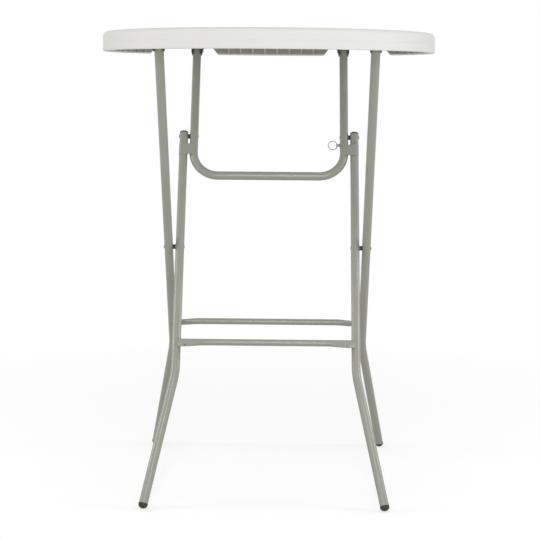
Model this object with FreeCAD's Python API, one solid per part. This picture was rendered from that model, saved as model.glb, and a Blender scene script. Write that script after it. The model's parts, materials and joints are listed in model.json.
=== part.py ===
import FreeCAD, Part
import math
import os

# Folding bar table: a round moulded top on two crossed tube frames and a U-shaped brace.
# Millimetres, +Z up, origin on the floor under the middle of the top, front towards -Y.

Vector = FreeCAD.Vector

# Whole table
TABLE_HEIGHT = 1100.0
TOP_RADIUS = 400.0

# Moulded top
PANEL_THICKNESS = 23.0
RIM_HEIGHT = 46.0
RIM_WIDTH = 14.0
TOP_EDGE_RADIUS = 12.0
TOP_EDGE_BEVELS = 3
RIM_OUTER_BEVEL = 5.0
RIM_INNER_BEVEL = 3.0
RIB_COUNT = 72
RIB_THICKNESS = 4.0
RIB_DEPTH = 6.0
RIB_CLEAR_OF_EDGE = 7.0
NOTCH_INSIDE_CLEARANCE = 20.0
NOTCH_OUTSIDE_CLEARANCE = 40.0
NOTCH_SLOPE = 18.0
NOTCH_CORNER_RADIUS = 6.0
DIMPLE_PITCH = 132.0
DIMPLE_RADIUS = 12.0
DIMPLE_DEPTH = 13.0
DIMPLE_MARGIN = 45.0

# Steel tube
TUBE_RADIUS = 10.7
TUBE_WALL = 1.2
CROSS_SPACER_LENGTH = 6.2
BRACE_SPACER_LENGTH = 4.8

# Fold: both frames pivot this far from the middle plane, and cross on that plane
PIVOT_DROP = 14.0
PIVOT_HALF_SPAN = 244.5
CROSS_HEIGHT = 578.5
FRAME_Y = -8.0
TUBE_END_PAST_PIVOT = 7.8

# Splayed feet
OUTER_BEND_DROP = 302.0
INNER_BEND_DROP = 320.0
OUTER_SPLAY = 10.2
INNER_SPLAY = 11.4
LEG_BEND_RADIUS = 220.0
FOOT_CAP_RADIUS = 11.1
FOOT_COLLAR = 5.5
FOOT_TIP_RADIUS = 5.8
FOOT_LENGTH = 11.0
PLUG_LENGTH = 16.0

# Stretchers with flattened ends
STRETCHER_RADIUS = 7.9
STRETCHER_WALL = 1.2
FRONT_STRETCHER_DROP = 249.8
REAR_STRETCHER_DROP = 243.0
STRETCHER_CLEARANCE = 0.6
FRONT_FLAT_HEIGHT = 19.4
REAR_FLAT_HEIGHT = 16.6
FLAT_THICKNESS = 5.5
FLAT_START = 72.0
FLAT_FULL = 12.0
FLAT_SHORT_OF_AXIS = 2.5
FLAT_SIDES = 16
FLAT_INSET = 0.25
WELD_DEPTH = 3.5
WELD_HEIGHT = 15.0
WEEP_RADIUS = 1.6
WEEP_FROM_AXIS = 22.0
WEEP_DROP = 6.3

# Brace loop
LOOP_BAR_DROP = 107.0
LOOP_BEND_RADIUS = 63.0
LEG_TAIL = 8.8
TAIL_COLLAR = 0.8
TAIL_BEVEL = 2.6
TAIL_CAP_LENGTH = 4.2
TEST_HOLE_DROP = 18.5
TEST_HOLE_RADIUS = 1.5

# Saddle plates
SADDLE_DROP = 24.5
SADDLE_HEIGHT = 29.0
SADDLE_THICKNESS = 1.5
SADDLE_WELD_TURN = 22.0
SADDLE_HOOK_TURN = 60.0

# Rivets, spacers and hinge pins
RIVET_RADIUS = 3.5
RIVET_HEAD_RADIUS = 4.4
RIVET_HEAD_HEIGHT = 2.0
RIVET_TAIL_HEIGHT = 0.8
SPACER_RADIUS = 5.4
HINGE_PIN_RADIUS = 3.5
HINGE_PIN_HEAD_RADIUS = 5.2
HINGE_PIN_HEAD_HEIGHT = 2.0

# Hinge brackets
CHEEK_THICKNESS = 4.3
CHEEK_TIP_THICKNESS = 1.3
CHEEK_RADIUS = 13.5
PIN_BOSS_RADIUS = 6.4
PIN_BOSS_THICKNESS = 3.4
CHEEK_SIDE_CLEARANCE = 0.4
WEB_THICKNESS = 3.5
TUBE_END_CLEARANCE = 0.9
BRACKET_RIM_CLEARANCE = 5.5
EAR_LENGTH = 24.0
EAR_HALF_WIDTH = 16.0
EAR_THICKNESS = 3.5
EAR_RIB_THICKNESS = 3.0
EAR_RIB_HEIGHT = 8.0
SCREW_HOLE_RADIUS = 2.3
SCREW_SPACING = 18.0

# Lock pin and pull ring
LOCK_DROP = 22.0
LOCK_PIN_RADIUS = 2.0
LOCK_BUSH_RADIUS = 4.6
LOCK_BUSH_LENGTH = 3.2
LOCK_HEAD_RADIUS = 3.2
LOCK_HEAD_LENGTH = 6.0
LOCK_HEAD_HALF_HEIGHT = 2.0
EYE_FROM_TIP = 3.0
EYE_RADIUS = 1.7
RING_RADIUS = 12.1
RING_WIRE = 1.7

# Clearances
RUNNING_FIT = 0.05
SIDE_GAP = 0.3

# Worked out from the sizes above
RIM_BOTTOM = TABLE_HEIGHT - RIM_HEIGHT
CEILING = TABLE_HEIGHT - PANEL_THICKNESS
PIVOT_HEIGHT = CEILING - PIVOT_DROP
LEAN = math.atan2(PIVOT_HALF_SPAN, PIVOT_HEIGHT - CROSS_HEIGHT)
STRUT = math.hypot(PIVOT_HALF_SPAN, PIVOT_HEIGHT - CROSS_HEIGHT)
# The folded frames lie in one line only if the brace pivot stands here above the cross.
BRACE_PIVOT = STRUT - PIVOT_HALF_SPAN
RIM_INSIDE = TOP_RADIUS - RIM_WIDTH
BORE_RADIUS = TUBE_RADIUS - TUBE_WALL
CHEEK_INSIDE = TUBE_RADIUS + CHEEK_SIDE_CLEARANCE
CHEEK_OUTSIDE = CHEEK_INSIDE + CHEEK_THICKNESS
CHEEK_TIP_OUTSIDE = CHEEK_INSIDE + CHEEK_TIP_THICKNESS
PIN_SEAT = CHEEK_INSIDE + PIN_BOSS_THICKNESS
WEB_INSIDE = math.hypot(TUBE_RADIUS, TUBE_END_PAST_PIVOT) + TUBE_END_CLEARANCE
WEB_OUTSIDE = WEB_INSIDE + WEB_THICKNESS
# The front brackets' outer corners stand just clear of the gussets, which sets the legs' spacing.
CORNER_RADIUS = RIM_INSIDE - RIB_DEPTH - BRACKET_RIM_CLEARANCE
CORNER_Y = PIVOT_HALF_SPAN - FRAME_Y + WEB_OUTSIDE
OUTER_LEG_X = math.sqrt(CORNER_RADIUS ** 2 - CORNER_Y ** 2) - CHEEK_OUTSIDE
INNER_LEG_X = OUTER_LEG_X - 2 * TUBE_RADIUS - CROSS_SPACER_LENGTH
LOOP_X = INNER_LEG_X - 2 * TUBE_RADIUS - BRACE_SPACER_LENGTH
NOTCH_INSIDE = LOOP_X - TUBE_RADIUS - NOTCH_INSIDE_CLEARANCE
NOTCH_OUTSIDE = OUTER_LEG_X + TUBE_RADIUS + NOTCH_OUTSIDE_CLEARANCE
SIDES = {"left": -1, "right": 1}
FRONT = -1
REAR = 1
EPS = 1.0


def box(x_from, x_to, y_from, y_to, z_from, z_to):
    """A block between two corners, given in any order."""
    low = Vector(min(x_from, x_to), min(y_from, y_to), min(z_from, z_to))
    return Part.makeBox(abs(x_to - x_from), abs(y_to - y_from), abs(z_to - z_from), low)


def rod_x(radius, x_from, x_to, y=0.0, z=0.0):
    """A round rod along X between two places."""
    start = Vector(min(x_from, x_to), y, z)
    return Part.makeCylinder(radius, abs(x_to - x_from), start, Vector(1, 0, 0))


def rounded_path(points, radii):
    """Straight runs through the points, with a tangent arc of its own radius at each inner point."""
    edges = []
    start = points[0]
    for before, corner, after, radius in zip(points, points[1:], points[2:], radii):
        inward = (before - corner).normalize()
        outward = (after - corner).normalize()
        half_turn = (math.pi - inward.getAngle(outward)) / 2
        bisector = (inward + outward).normalize()
        arc_start = corner + inward * (radius * math.tan(half_turn))
        arc_end = corner + outward * (radius * math.tan(half_turn))
        arc_middle = corner + bisector * (radius / math.cos(half_turn) - radius)
        edges.append(Part.LineSegment(start, arc_start).toShape())
        edges.append(Part.Arc(arc_start, arc_middle, arc_end).toShape())
        start = arc_end
    edges.append(Part.LineSegment(start, points[-1]).toShape())
    return edges


def swept_rod(edges, radius):
    """A round rod along a path of tangent edges."""
    first = edges[0]
    start = first.valueAt(first.FirstParameter)
    heading = first.tangentAt(first.FirstParameter)
    section = Part.Wire(Part.makeCircle(radius, start, heading))
    return Part.Wire(edges).makePipeShell([section], True, False)


def turned(profile):
    """A solid of revolution about Z from (radius, height) points, closed along the axis."""
    points = [Vector(radius, 0, height) for radius, height in profile]
    wire = Part.makePolygon(points + [points[0]])
    return Part.Face(wire).revolve(Vector(0, 0, 0), Vector(0, 0, 1), 360)


def leaned(shape, top_towards):
    """Sets a frame drawn upright about the cross pivot at its lean in the table."""
    placed = shape.copy()
    placed.rotate(Vector(0, 0, 0), Vector(1, 0, 0), -top_towards * math.degrees(LEAN))
    placed.translate(Vector(0, FRAME_Y, CROSS_HEIGHT))
    return placed


# Moulded top


def rim_ribs():
    """Small gussets around the inside of the rim."""
    profile = [
        Vector(RIM_INSIDE - RIB_DEPTH, -RIB_THICKNESS / 2, CEILING + EPS),
        Vector(RIM_INSIDE + EPS, -RIB_THICKNESS / 2, CEILING + EPS),
        Vector(RIM_INSIDE + EPS, -RIB_THICKNESS / 2, RIM_BOTTOM + RIB_CLEAR_OF_EDGE),
    ]
    rib = Part.Face(Part.makePolygon(profile + [profile[0]])).extrude(Vector(0, RIB_THICKNESS, 0))
    ribs = []
    for index in range(RIB_COUNT):
        copy = rib.copy()
        copy.rotate(Vector(0, 0, 0), Vector(0, 0, 1), (index + 0.5) * 360.0 / RIB_COUNT)
        ribs.append(copy)
    return ribs


def notch(side):
    """The gap in the rear rim that the folded legs pass through, with sloped ends."""
    low = RIM_BOTTOM
    flare = NOTCH_SLOPE + 2 * NOTCH_CORNER_RADIUS
    outline = [
        Vector(side * (NOTCH_INSIDE - flare), 0, low),
        Vector(side * (NOTCH_INSIDE - NOTCH_SLOPE), 0, low),
        Vector(side * NOTCH_INSIDE, 0, CEILING),
        Vector(side * NOTCH_OUTSIDE, 0, CEILING),
        Vector(side * (NOTCH_OUTSIDE + NOTCH_SLOPE), 0, low),
        Vector(side * (NOTCH_OUTSIDE + flare), 0, low),
    ]
    edges = rounded_path(outline, [NOTCH_CORNER_RADIUS] * 4)
    under = Vector(0, 0, -EPS)
    closing = Part.makePolygon([outline[-1], outline[-1] + under, outline[0] + under, outline[0]])
    face = Part.Face(Part.Wire(edges + closing.Edges))
    return face.extrude(Vector(0, TOP_RADIUS + EPS, 0))


def dimples():
    """Round hollows in the underside, on a triangular grid clear of the rim and the brackets."""
    hollow = Part.makeCylinder(DIMPLE_RADIUS, DIMPLE_DEPTH + EPS, Vector(0, 0, -EPS))
    brackets = [Vector(side * x, y, 0) for side in SIDES.values() for x, y in
                ((OUTER_LEG_X - EAR_LENGTH / 2, FRAME_Y - PIVOT_HALF_SPAN),
                 (LOOP_X - EAR_LENGTH / 2, FRAME_Y + PIVOT_HALF_SPAN))]
    row_pitch = DIMPLE_PITCH * math.sqrt(0.75)
    reach = math.ceil(RIM_INSIDE / row_pitch)
    found = []
    for row in range(-reach, reach + 1):
        for column in range(-reach, reach + 1):
            across = column + 0.5 * (row % 2)
            place = Vector(across * DIMPLE_PITCH, row * row_pitch, 0)
            in_rim = place.Length > RIM_INSIDE - DIMPLE_MARGIN
            under_bracket = any((place - bracket).Length < DIMPLE_MARGIN for bracket in brackets)
            if in_rim or under_bracket:
                continue
            copy = hollow.copy()
            copy.translate(place + Vector(0, 0, CEILING))
            found.append(copy)
    return found


def tabletop():
    """Round top with a deep rim, a recessed ribbed underside and two notches at the rear."""
    profile = [
        (0, CEILING),
        (RIM_INSIDE, CEILING),
        (RIM_INSIDE, RIM_BOTTOM + RIM_INNER_BEVEL),
        (RIM_INSIDE + RIM_INNER_BEVEL, RIM_BOTTOM),
        (TOP_RADIUS - RIM_OUTER_BEVEL, RIM_BOTTOM),
        (TOP_RADIUS, RIM_BOTTOM + RIM_OUTER_BEVEL),
    ]
    for step in range(TOP_EDGE_BEVELS + 1):
        turn = math.radians(90.0 * step / TOP_EDGE_BEVELS)
        radius = TOP_RADIUS - TOP_EDGE_RADIUS * (1 - math.cos(turn))
        profile.append((radius, TABLE_HEIGHT - TOP_EDGE_RADIUS * (1 - math.sin(turn))))
    profile.append((0, TABLE_HEIGHT))
    ribbed = turned(profile).fuse(rim_ribs())
    return ribbed.cut([notch(side) for side in SIDES.values()] + dimples())


# Hinge brackets under the top


def drafted():
    """Space under the top that both cheeks and the web keep to, narrower towards its lower end."""
    upper = [Vector(side * CHEEK_OUTSIDE, -WEB_OUTSIDE, PIVOT_DROP) for side in (-1, 1)]
    lower = [Vector(side * CHEEK_TIP_OUTSIDE, -WEB_OUTSIDE, -CHEEK_RADIUS) for side in (1, -1)]
    outline = Part.makePolygon(upper + lower + upper[:1])
    return Part.Face(outline).extrude(Vector(0, 2 * WEB_OUTSIDE, 0))


def hinge_bracket(open_side, ear_side):
    """Clevis with two drafted cheeks, a web behind the tube end and a screw ear, drawn about its pivot."""
    web_from = -open_side * WEB_INSIDE
    web_to = -open_side * WEB_OUTSIDE
    walls = [box(-CHEEK_OUTSIDE, CHEEK_OUTSIDE, web_from, web_to, 0, PIVOT_DROP)]
    bosses = []
    for side in SIDES.values():
        inside = side * CHEEK_INSIDE
        outside = side * CHEEK_OUTSIDE
        walls.append(rod_x(CHEEK_RADIUS, inside, outside))
        walls.append(box(inside, outside, open_side * CHEEK_RADIUS, web_to, 0, PIVOT_DROP))
        bosses.append(rod_x(PIN_BOSS_RADIUS, inside, side * PIN_SEAT))
    clevis = walls[0].fuse(walls[1:]).removeSplitter().common(drafted())
    ear_start = ear_side * CHEEK_INSIDE
    ear_end = ear_side * (CHEEK_OUTSIDE + EAR_LENGTH)
    ear_under = PIVOT_DROP - EAR_THICKNESS
    ear = [box(ear_start, ear_end, -EAR_HALF_WIDTH, EAR_HALF_WIDTH, ear_under, PIVOT_DROP)]
    for start_y in (-EAR_HALF_WIDTH, EAR_HALF_WIDTH - EAR_RIB_THICKNESS):
        rib = [
            Vector(ear_start, start_y, ear_under),
            Vector(ear_end, start_y, ear_under),
            Vector(ear_start, start_y, ear_under - EAR_RIB_HEIGHT),
        ]
        ear.append(Part.Face(Part.makePolygon(rib + [rib[0]])).extrude(Vector(0, EAR_RIB_THICKNESS, 0)))
    holes = [rod_x(HINGE_PIN_RADIUS, -CHEEK_OUTSIDE - EPS, CHEEK_OUTSIDE + EPS)]
    ear_middle = ear_side * (CHEEK_OUTSIDE + EAR_LENGTH / 2)
    for place in (-SCREW_SPACING / 2, SCREW_SPACING / 2):
        start = Vector(ear_middle, place, 0)
        holes.append(Part.makeCylinder(SCREW_HOLE_RADIUS, PIVOT_DROP + EPS, start))
    return clevis.fuse(bosses + ear).removeSplitter().cut(holes)


def hinge_pin(outward):
    """Headed pin through both cheeks, drawn about its pivot, flush with the boss at its other end."""
    shank = rod_x(HINGE_PIN_RADIUS, -PIN_SEAT, PIN_SEAT)
    head_end = outward * (PIN_SEAT + HINGE_PIN_HEAD_HEIGHT)
    head = rod_x(HINGE_PIN_HEAD_RADIUS, outward * PIN_SEAT, head_end)
    return shank.fuse(head).removeSplitter()


# Tube frames, drawn upright with the cross pivot at the origin


def foot_lean(splay):
    """Angle between a splayed foot and the vertical."""
    return math.acos(math.cos(math.radians(splay)) * math.cos(LEAN))


def foot_profile():
    """Radius and length of each ring of the foot cap, from the tube's end to its tip."""
    collar = [(FOOT_CAP_RADIUS, 0), (FOOT_CAP_RADIUS, FOOT_COLLAR)]
    return collar + [(FOOT_TIP_RADIUS, FOOT_LENGTH), (0, FOOT_LENGTH)]


def foot_seat(leg_x, bend_drop, splay):
    """Centre of a tube's lower end, so high that the cap on it just touches the floor."""
    slant = foot_lean(splay)
    reach = max(length * math.cos(slant) + radius * math.sin(slant) for radius, length in foot_profile())
    height = (reach - CROSS_HEIGHT) / math.cos(LEAN)
    return Vector(leg_x + (-bend_drop - height) * math.tan(math.radians(splay)), 0, height)


def leg_path(leg_x, top, bend_drop, splay):
    """Centre line of a right-hand leg, from its upper end to its foot."""
    points = [Vector(leg_x, 0, top), Vector(leg_x, 0, -bend_drop), foot_seat(leg_x, bend_drop, splay)]
    return rounded_path(points, [LEG_BEND_RADIUS])


def cross_hole(leg_x, height, fit):
    """A drilled hole across a tube, wider than its rivet by the fit."""
    reach = TUBE_RADIUS + EPS
    return rod_x(fit, leg_x - reach, leg_x + reach, 0, height)


def mirrored(shape, side):
    """The right-hand shape itself, or its mirror image for the left."""
    return shape if side > 0 else shape.mirror(Vector(0, 0, 0), Vector(1, 0, 0))


def foot_cap(leg_x, bend_drop, splay):
    """Cap on a right-hand foot, with a plug inside the tube."""
    cap = turned([(0, -PLUG_LENGTH), (BORE_RADIUS, -PLUG_LENGTH), (BORE_RADIUS, 0)] + foot_profile())
    cap.rotate(Vector(0, 0, 0), Vector(0, 1, 0), 180 - splay)
    cap.translate(foot_seat(leg_x, bend_drop, splay))
    return cap


def outer_leg():
    """Right-hand outer leg: hinged under the front of the top, foot at the rear."""
    path = leg_path(OUTER_LEG_X, STRUT + TUBE_END_PAST_PIVOT, OUTER_BEND_DROP, OUTER_SPLAY)
    holes = [
        swept_rod(path, BORE_RADIUS),
        cross_hole(OUTER_LEG_X, STRUT, HINGE_PIN_RADIUS + RUNNING_FIT),
        cross_hole(OUTER_LEG_X, 0, RIVET_RADIUS),
    ]
    return swept_rod(path, TUBE_RADIUS).cut(holes)


def inner_leg(with_test_hole):
    """Right-hand inner leg: foot at the front, joined to the brace near its upper end."""
    path = leg_path(INNER_LEG_X, BRACE_PIVOT + LEG_TAIL, INNER_BEND_DROP, INNER_SPLAY)
    holes = [
        swept_rod(path, BORE_RADIUS),
        cross_hole(INNER_LEG_X, 0, RIVET_RADIUS + RUNNING_FIT),
        cross_hole(INNER_LEG_X, BRACE_PIVOT, RIVET_RADIUS),
    ]
    if with_test_hole:
        start = Vector(INNER_LEG_X, 0, BRACE_PIVOT - TEST_HOLE_DROP)
        holes.append(Part.makeCylinder(TEST_HOLE_RADIUS, TUBE_RADIUS + EPS, start, Vector(0, -1, 0)))
    return swept_rod(path, TUBE_RADIUS).cut(holes)


def leg_end_cap():
    """Bevelled cap in the upper end of the right-hand inner leg, short of the brace rivet."""
    plug = LEG_TAIL - RIVET_RADIUS - SIDE_GAP
    tip = TUBE_RADIUS - TAIL_BEVEL
    cap = turned([(0, -plug), (BORE_RADIUS, -plug), (BORE_RADIUS, 0), (TUBE_RADIUS, 0),
                  (TUBE_RADIUS, TAIL_COLLAR), (tip, TAIL_CAP_LENGTH), (0, TAIL_CAP_LENGTH)])
    cap.translate(Vector(INNER_LEG_X, 0, BRACE_PIVOT + LEG_TAIL))
    return cap


def section(place, half_height, half_depth):
    """Round or oval section across X, with as many straight sides as a flattened end has."""
    points = []
    for corner in range(FLAT_SIDES):
        turn = math.pi * (2 * corner + 1) / FLAT_SIDES
        points.append(place + Vector(0, half_depth * math.sin(turn), half_height * math.cos(turn)))
    return Part.makePolygon(points + [points[0]])


def stretcher(leg_x, drop, face, flat_height, legs):
    """Cross tube on the outer face of a frame, with flattened ends lapped onto the legs."""
    axis_y = face * (TUBE_RADIUS + STRETCHER_CLEARANCE + STRETCHER_RADIUS)
    flat_y = face * (TUBE_RADIUS + FLAT_THICKNESS / 2)
    straight = leg_x - FLAT_START
    bore = STRETCHER_RADIUS - STRETCHER_WALL
    solids = []
    cuts = [rod_x(bore, -straight, straight, axis_y, -drop)]
    for side in SIDES.values():
        round_place = Vector(side * straight, axis_y, -drop)
        flat_place = Vector(side * (leg_x - FLAT_FULL), flat_y, -drop)
        flat_end = section(flat_place, flat_height / 2, FLAT_THICKNESS / 2)
        round_end = section(round_place, STRETCHER_RADIUS - FLAT_INSET, STRETCHER_RADIUS - FLAT_INSET)
        solids.append(Part.makeLoft([round_end, flat_end], True, True))
        solids.append(Part.Face(flat_end).extrude(Vector(side * (FLAT_FULL - FLAT_SHORT_OF_AXIS), 0, 0)))
        weld_start = side * (leg_x - TUBE_RADIUS + WELD_DEPTH)
        weld_end = side * (leg_x - FLAT_SHORT_OF_AXIS)
        weld_back = face * (TUBE_RADIUS - WELD_DEPTH)
        weld_low = -drop - WELD_HEIGHT / 2
        solids.append(box(weld_start, weld_end, weld_back, flat_y, weld_low, weld_low + WELD_HEIGHT))
        weep = Vector(side * (leg_x - WEEP_FROM_AXIS), flat_y, -drop - WEEP_DROP)
        cuts.append(Part.makeCylinder(WEEP_RADIUS, 2 * STRETCHER_RADIUS, weep, Vector(0, face, 0)))
    body = rod_x(STRETCHER_RADIUS, -straight, straight, axis_y, -drop)
    return body.fuse(solids).cut(cuts + legs)


def loop_path():
    """Centre line of the brace, down one side, across and up the other."""
    top = STRUT + TUBE_END_PAST_PIVOT
    low = BRACE_PIVOT - LOOP_BAR_DROP
    places = [(LOOP_X, top), (LOOP_X, low), (-LOOP_X, low), (-LOOP_X, top)]
    return rounded_path([Vector(x, 0, z) for x, z in places], [LOOP_BEND_RADIUS] * 2)


def brace_loop():
    """U-shaped brace, hinged under the rear of the top, with the lock pin's hole on the right."""
    bend_end = BRACE_PIVOT - LOOP_BAR_DROP + LOOP_BEND_RADIUS
    bore_length = STRUT + TUBE_END_PAST_PIVOT - bend_end
    holes = []
    for side in SIDES.values():
        holes.append(Part.makeCylinder(BORE_RADIUS, bore_length, Vector(side * LOOP_X, 0, bend_end)))
        holes.append(cross_hole(side * LOOP_X, STRUT, HINGE_PIN_RADIUS + RUNNING_FIT))
        holes.append(cross_hole(side * LOOP_X, BRACE_PIVOT, RIVET_RADIUS))
    holes.append(cross_hole(LOOP_X, BRACE_PIVOT - LOCK_DROP, LOCK_PIN_RADIUS + RUNNING_FIT))
    return swept_rod(loop_path(), TUBE_RADIUS).cut(holes)


def around(centre_x, radius, turn):
    """A place beside an upright tube, with its turn in degrees from the tube's front towards +X."""
    angle = math.radians(turn)
    return Vector(centre_x + radius * math.sin(angle), -radius * math.cos(angle), 0)


def arc_around(centre_x, radius, from_turn, to_turn):
    """An arc about an upright tube."""
    places = [around(centre_x, radius, turn) for turn in (from_turn, (from_turn + to_turn) / 2, to_turn)]
    return Part.Arc(*places)


def saddle_plate(loop_rod):
    """Right-hand sheet saddle, welded round the brace and hooked round the front of the leg."""
    weld_out = TUBE_RADIUS + SADDLE_THICKNESS
    hook_in = TUBE_RADIUS + SIDE_GAP
    hook_out = hook_in + SADDLE_THICKNESS
    arcs = [
        arc_around(LOOP_X, weld_out, -SADDLE_WELD_TURN, 0),
        arc_around(INNER_LEG_X, hook_out, 0, SADDLE_HOOK_TURN),
        arc_around(INNER_LEG_X, hook_in, SADDLE_HOOK_TURN, 0),
        arc_around(LOOP_X, TUBE_RADIUS, 0, -SADDLE_WELD_TURN),
    ]
    edges = []
    for arc, following in zip(arcs, arcs[1:] + arcs[:1]):
        edges.append(arc.toShape())
        edges.append(Part.makeLine(arc.EndPoint, following.StartPoint))
    plate = Part.Face(Part.Wire(edges)).extrude(Vector(0, 0, SADDLE_HEIGHT))
    plate.translate(Vector(0, 0, BRACE_PIVOT - SADDLE_DROP - SADDLE_HEIGHT))
    return plate.cut(loop_rod)


# Rivets and spacers at the cross and at the brace pivot


def rivet_end(seat, reach, height):
    """Flat rivet head or tail on a plane across X, standing out by its signed reach."""
    return rod_x(RIVET_HEAD_RADIUS, seat, seat + reach, 0, height)


def seated_spacer(tube_x, reach, height):
    """Spacer over a signed reach from the round side of a tube, short of the next by a running gap."""
    start = tube_x + math.copysign(TUBE_RADIUS, reach)
    end = start + reach - math.copysign(SIDE_GAP, reach)
    return rod_x(SPACER_RADIUS, start, end, 0, height).cut(rod_x(RIVET_RADIUS, start, end, 0, height))


def cross_rivet():
    """Right-hand rivet through both legs where they cross, fixed in the outer leg."""
    inner_seat = INNER_LEG_X - TUBE_RADIUS - SIDE_GAP
    outer_seat = OUTER_LEG_X + TUBE_RADIUS
    shank = rod_x(RIVET_RADIUS, inner_seat, outer_seat)
    ends = [rivet_end(outer_seat, RIVET_HEAD_HEIGHT, 0), rivet_end(inner_seat, -RIVET_TAIL_HEIGHT, 0)]
    return shank.fuse(ends)


def brace_rivet_inner():
    """Right-hand rivet half in the brace, through the spacer and just short of the leg."""
    seat = LOOP_X - TUBE_RADIUS
    shank = rod_x(RIVET_RADIUS, seat, LOOP_X + TUBE_RADIUS + BRACE_SPACER_LENGTH - SIDE_GAP, 0, BRACE_PIVOT)
    return shank.fuse(rivet_end(seat, -RIVET_TAIL_HEIGHT, BRACE_PIVOT))


def brace_rivet_outer():
    """Right-hand rivet half in the leg, headed on its outer side."""
    seat = INNER_LEG_X + TUBE_RADIUS
    shank = rod_x(RIVET_RADIUS, INNER_LEG_X - TUBE_RADIUS, seat, 0, BRACE_PIVOT)
    return shank.fuse(rivet_end(seat, RIVET_HEAD_HEIGHT, BRACE_PIVOT))


# Lock pin with its bush and ring, on the inner side of the right-hand brace tube

LOCK_HEIGHT = BRACE_PIVOT - LOCK_DROP
LOCK_FACE = LOOP_X - TUBE_RADIUS
LOCK_HEAD_SEAT = LOCK_FACE - LOCK_BUSH_LENGTH - SIDE_GAP
EYE_X = LOCK_HEAD_SEAT - LOCK_HEAD_LENGTH + EYE_FROM_TIP


def lock_bush():
    """Bush against the brace tube, which guides the lock pin."""
    end = LOCK_FACE - LOCK_BUSH_LENGTH
    bore = rod_x(LOCK_PIN_RADIUS + RUNNING_FIT, LOCK_FACE, end, 0, LOCK_HEIGHT)
    return rod_x(LOCK_BUSH_RADIUS, LOCK_FACE, end, 0, LOCK_HEIGHT).cut(bore)


def lock_pin():
    """Pull pin across the brace tube, its tip just short of the leg, with an eye in its flat head."""
    tip = LOOP_X + TUBE_RADIUS + BRACE_SPACER_LENGTH - SIDE_GAP
    shank = rod_x(LOCK_PIN_RADIUS, LOCK_HEAD_SEAT, tip, 0, LOCK_HEIGHT)
    head_end = LOCK_HEAD_SEAT - LOCK_HEAD_LENGTH
    head = rod_x(LOCK_HEAD_RADIUS, LOCK_HEAD_SEAT, head_end, 0, LOCK_HEIGHT)
    slab = box(LOCK_HEAD_SEAT, head_end, -LOCK_HEAD_RADIUS, LOCK_HEAD_RADIUS,
               LOCK_HEIGHT - LOCK_HEAD_HALF_HEIGHT, LOCK_HEIGHT + LOCK_HEAD_HALF_HEIGHT)
    eye_start = Vector(EYE_X, 0, LOCK_HEIGHT - LOCK_HEAD_RADIUS)
    eye = Part.makeCylinder(EYE_RADIUS, 2 * LOCK_HEAD_RADIUS, eye_start)
    return shank.fuse(head.common(slab)).cut(eye)


def pull_ring():
    """Ring of square wire through the eye, standing in the plane of the brace."""
    along = Vector(0, 1, 0)
    base = Vector(EYE_X - RING_RADIUS + RING_WIRE / 2, -RING_WIRE / 2, LOCK_HEIGHT)
    disc = Part.makeCylinder(RING_RADIUS, RING_WIRE, base, along)
    return disc.cut(Part.makeCylinder(RING_RADIUS - RING_WIRE, RING_WIRE, base, along))


# Assembly


def both_hands(shape):
    """A right-hand piece and its mirror image, as one group."""
    return Part.makeCompound([mirrored(shape, side) for side in SIDES.values()])


def top_pieces():
    """The top with its hinge brackets and pins."""
    pieces = {"tabletop": tabletop()}
    for end, leg_x, away in (("front", OUTER_LEG_X, FRONT), ("rear", LOOP_X, REAR)):
        pivot = Vector(leg_x, FRAME_Y + away * PIVOT_HALF_SPAN, PIVOT_HEIGHT)
        pieces[f"hinge_brackets_{end}"] = both_hands(hinge_bracket(-away, -1).translated(pivot))
        pieces[f"hinge_pins_{end}"] = both_hands(hinge_pin(-1).translated(pivot))
    return pieces


def outer_frame_pieces():
    """The frame hinged under the front of the top, drawn upright."""
    top = STRUT + TUBE_END_PAST_PIVOT
    rod = swept_rod(leg_path(OUTER_LEG_X, top, OUTER_BEND_DROP, OUTER_SPLAY), TUBE_RADIUS)
    rods = both_hands(rod).Solids
    pieces = {
        "outer_feet": both_hands(foot_cap(OUTER_LEG_X, OUTER_BEND_DROP, OUTER_SPLAY)),
        "rear_stretcher": stretcher(OUTER_LEG_X, REAR_STRETCHER_DROP, REAR, REAR_FLAT_HEIGHT, rods),
        "cross_spacers": both_hands(seated_spacer(OUTER_LEG_X, -CROSS_SPACER_LENGTH, 0)),
        "cross_rivets": both_hands(cross_rivet()),
    }
    for hand, side in SIDES.items():
        pieces[f"outer_leg_{hand}"] = mirrored(outer_leg(), side)
    return pieces


def inner_frame_pieces():
    """The frame with its feet at the front, and the brace with its lock, drawn upright."""
    top = BRACE_PIVOT + LEG_TAIL
    rod = swept_rod(leg_path(INNER_LEG_X, top, INNER_BEND_DROP, INNER_SPLAY), TUBE_RADIUS)
    rods = both_hands(rod).Solids
    loop_rod = swept_rod(loop_path(), TUBE_RADIUS)
    pieces = {
        "inner_feet": both_hands(foot_cap(INNER_LEG_X, INNER_BEND_DROP, INNER_SPLAY)),
        "leg_end_caps": both_hands(leg_end_cap()),
        "front_stretcher": stretcher(INNER_LEG_X, FRONT_STRETCHER_DROP, FRONT, FRONT_FLAT_HEIGHT, rods),
        "brace_rivets_outer": both_hands(brace_rivet_outer()),
        "brace_loop": brace_loop(),
        "saddle_plates": both_hands(saddle_plate(loop_rod)),
        "brace_spacers": both_hands(seated_spacer(LOOP_X, BRACE_SPACER_LENGTH, BRACE_PIVOT)),
        "brace_rivets_inner": both_hands(brace_rivet_inner()),
        "lock_bush": lock_bush(),
        "lock_pin": lock_pin(),
        "pull_ring": pull_ring(),
    }
    for hand, side in SIDES.items():
        pieces[f"inner_leg_{hand}"] = mirrored(inner_leg(side > 0), side)
    return pieces


def build():
    """Every piece of the table at its place, by name."""
    pieces = top_pieces()
    for frame, top_towards in ((outer_frame_pieces(), FRONT), (inner_frame_pieces(), REAR)):
        for name, shape in frame.items():
            pieces[name] = leaned(shape, top_towards)
    return pieces


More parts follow.
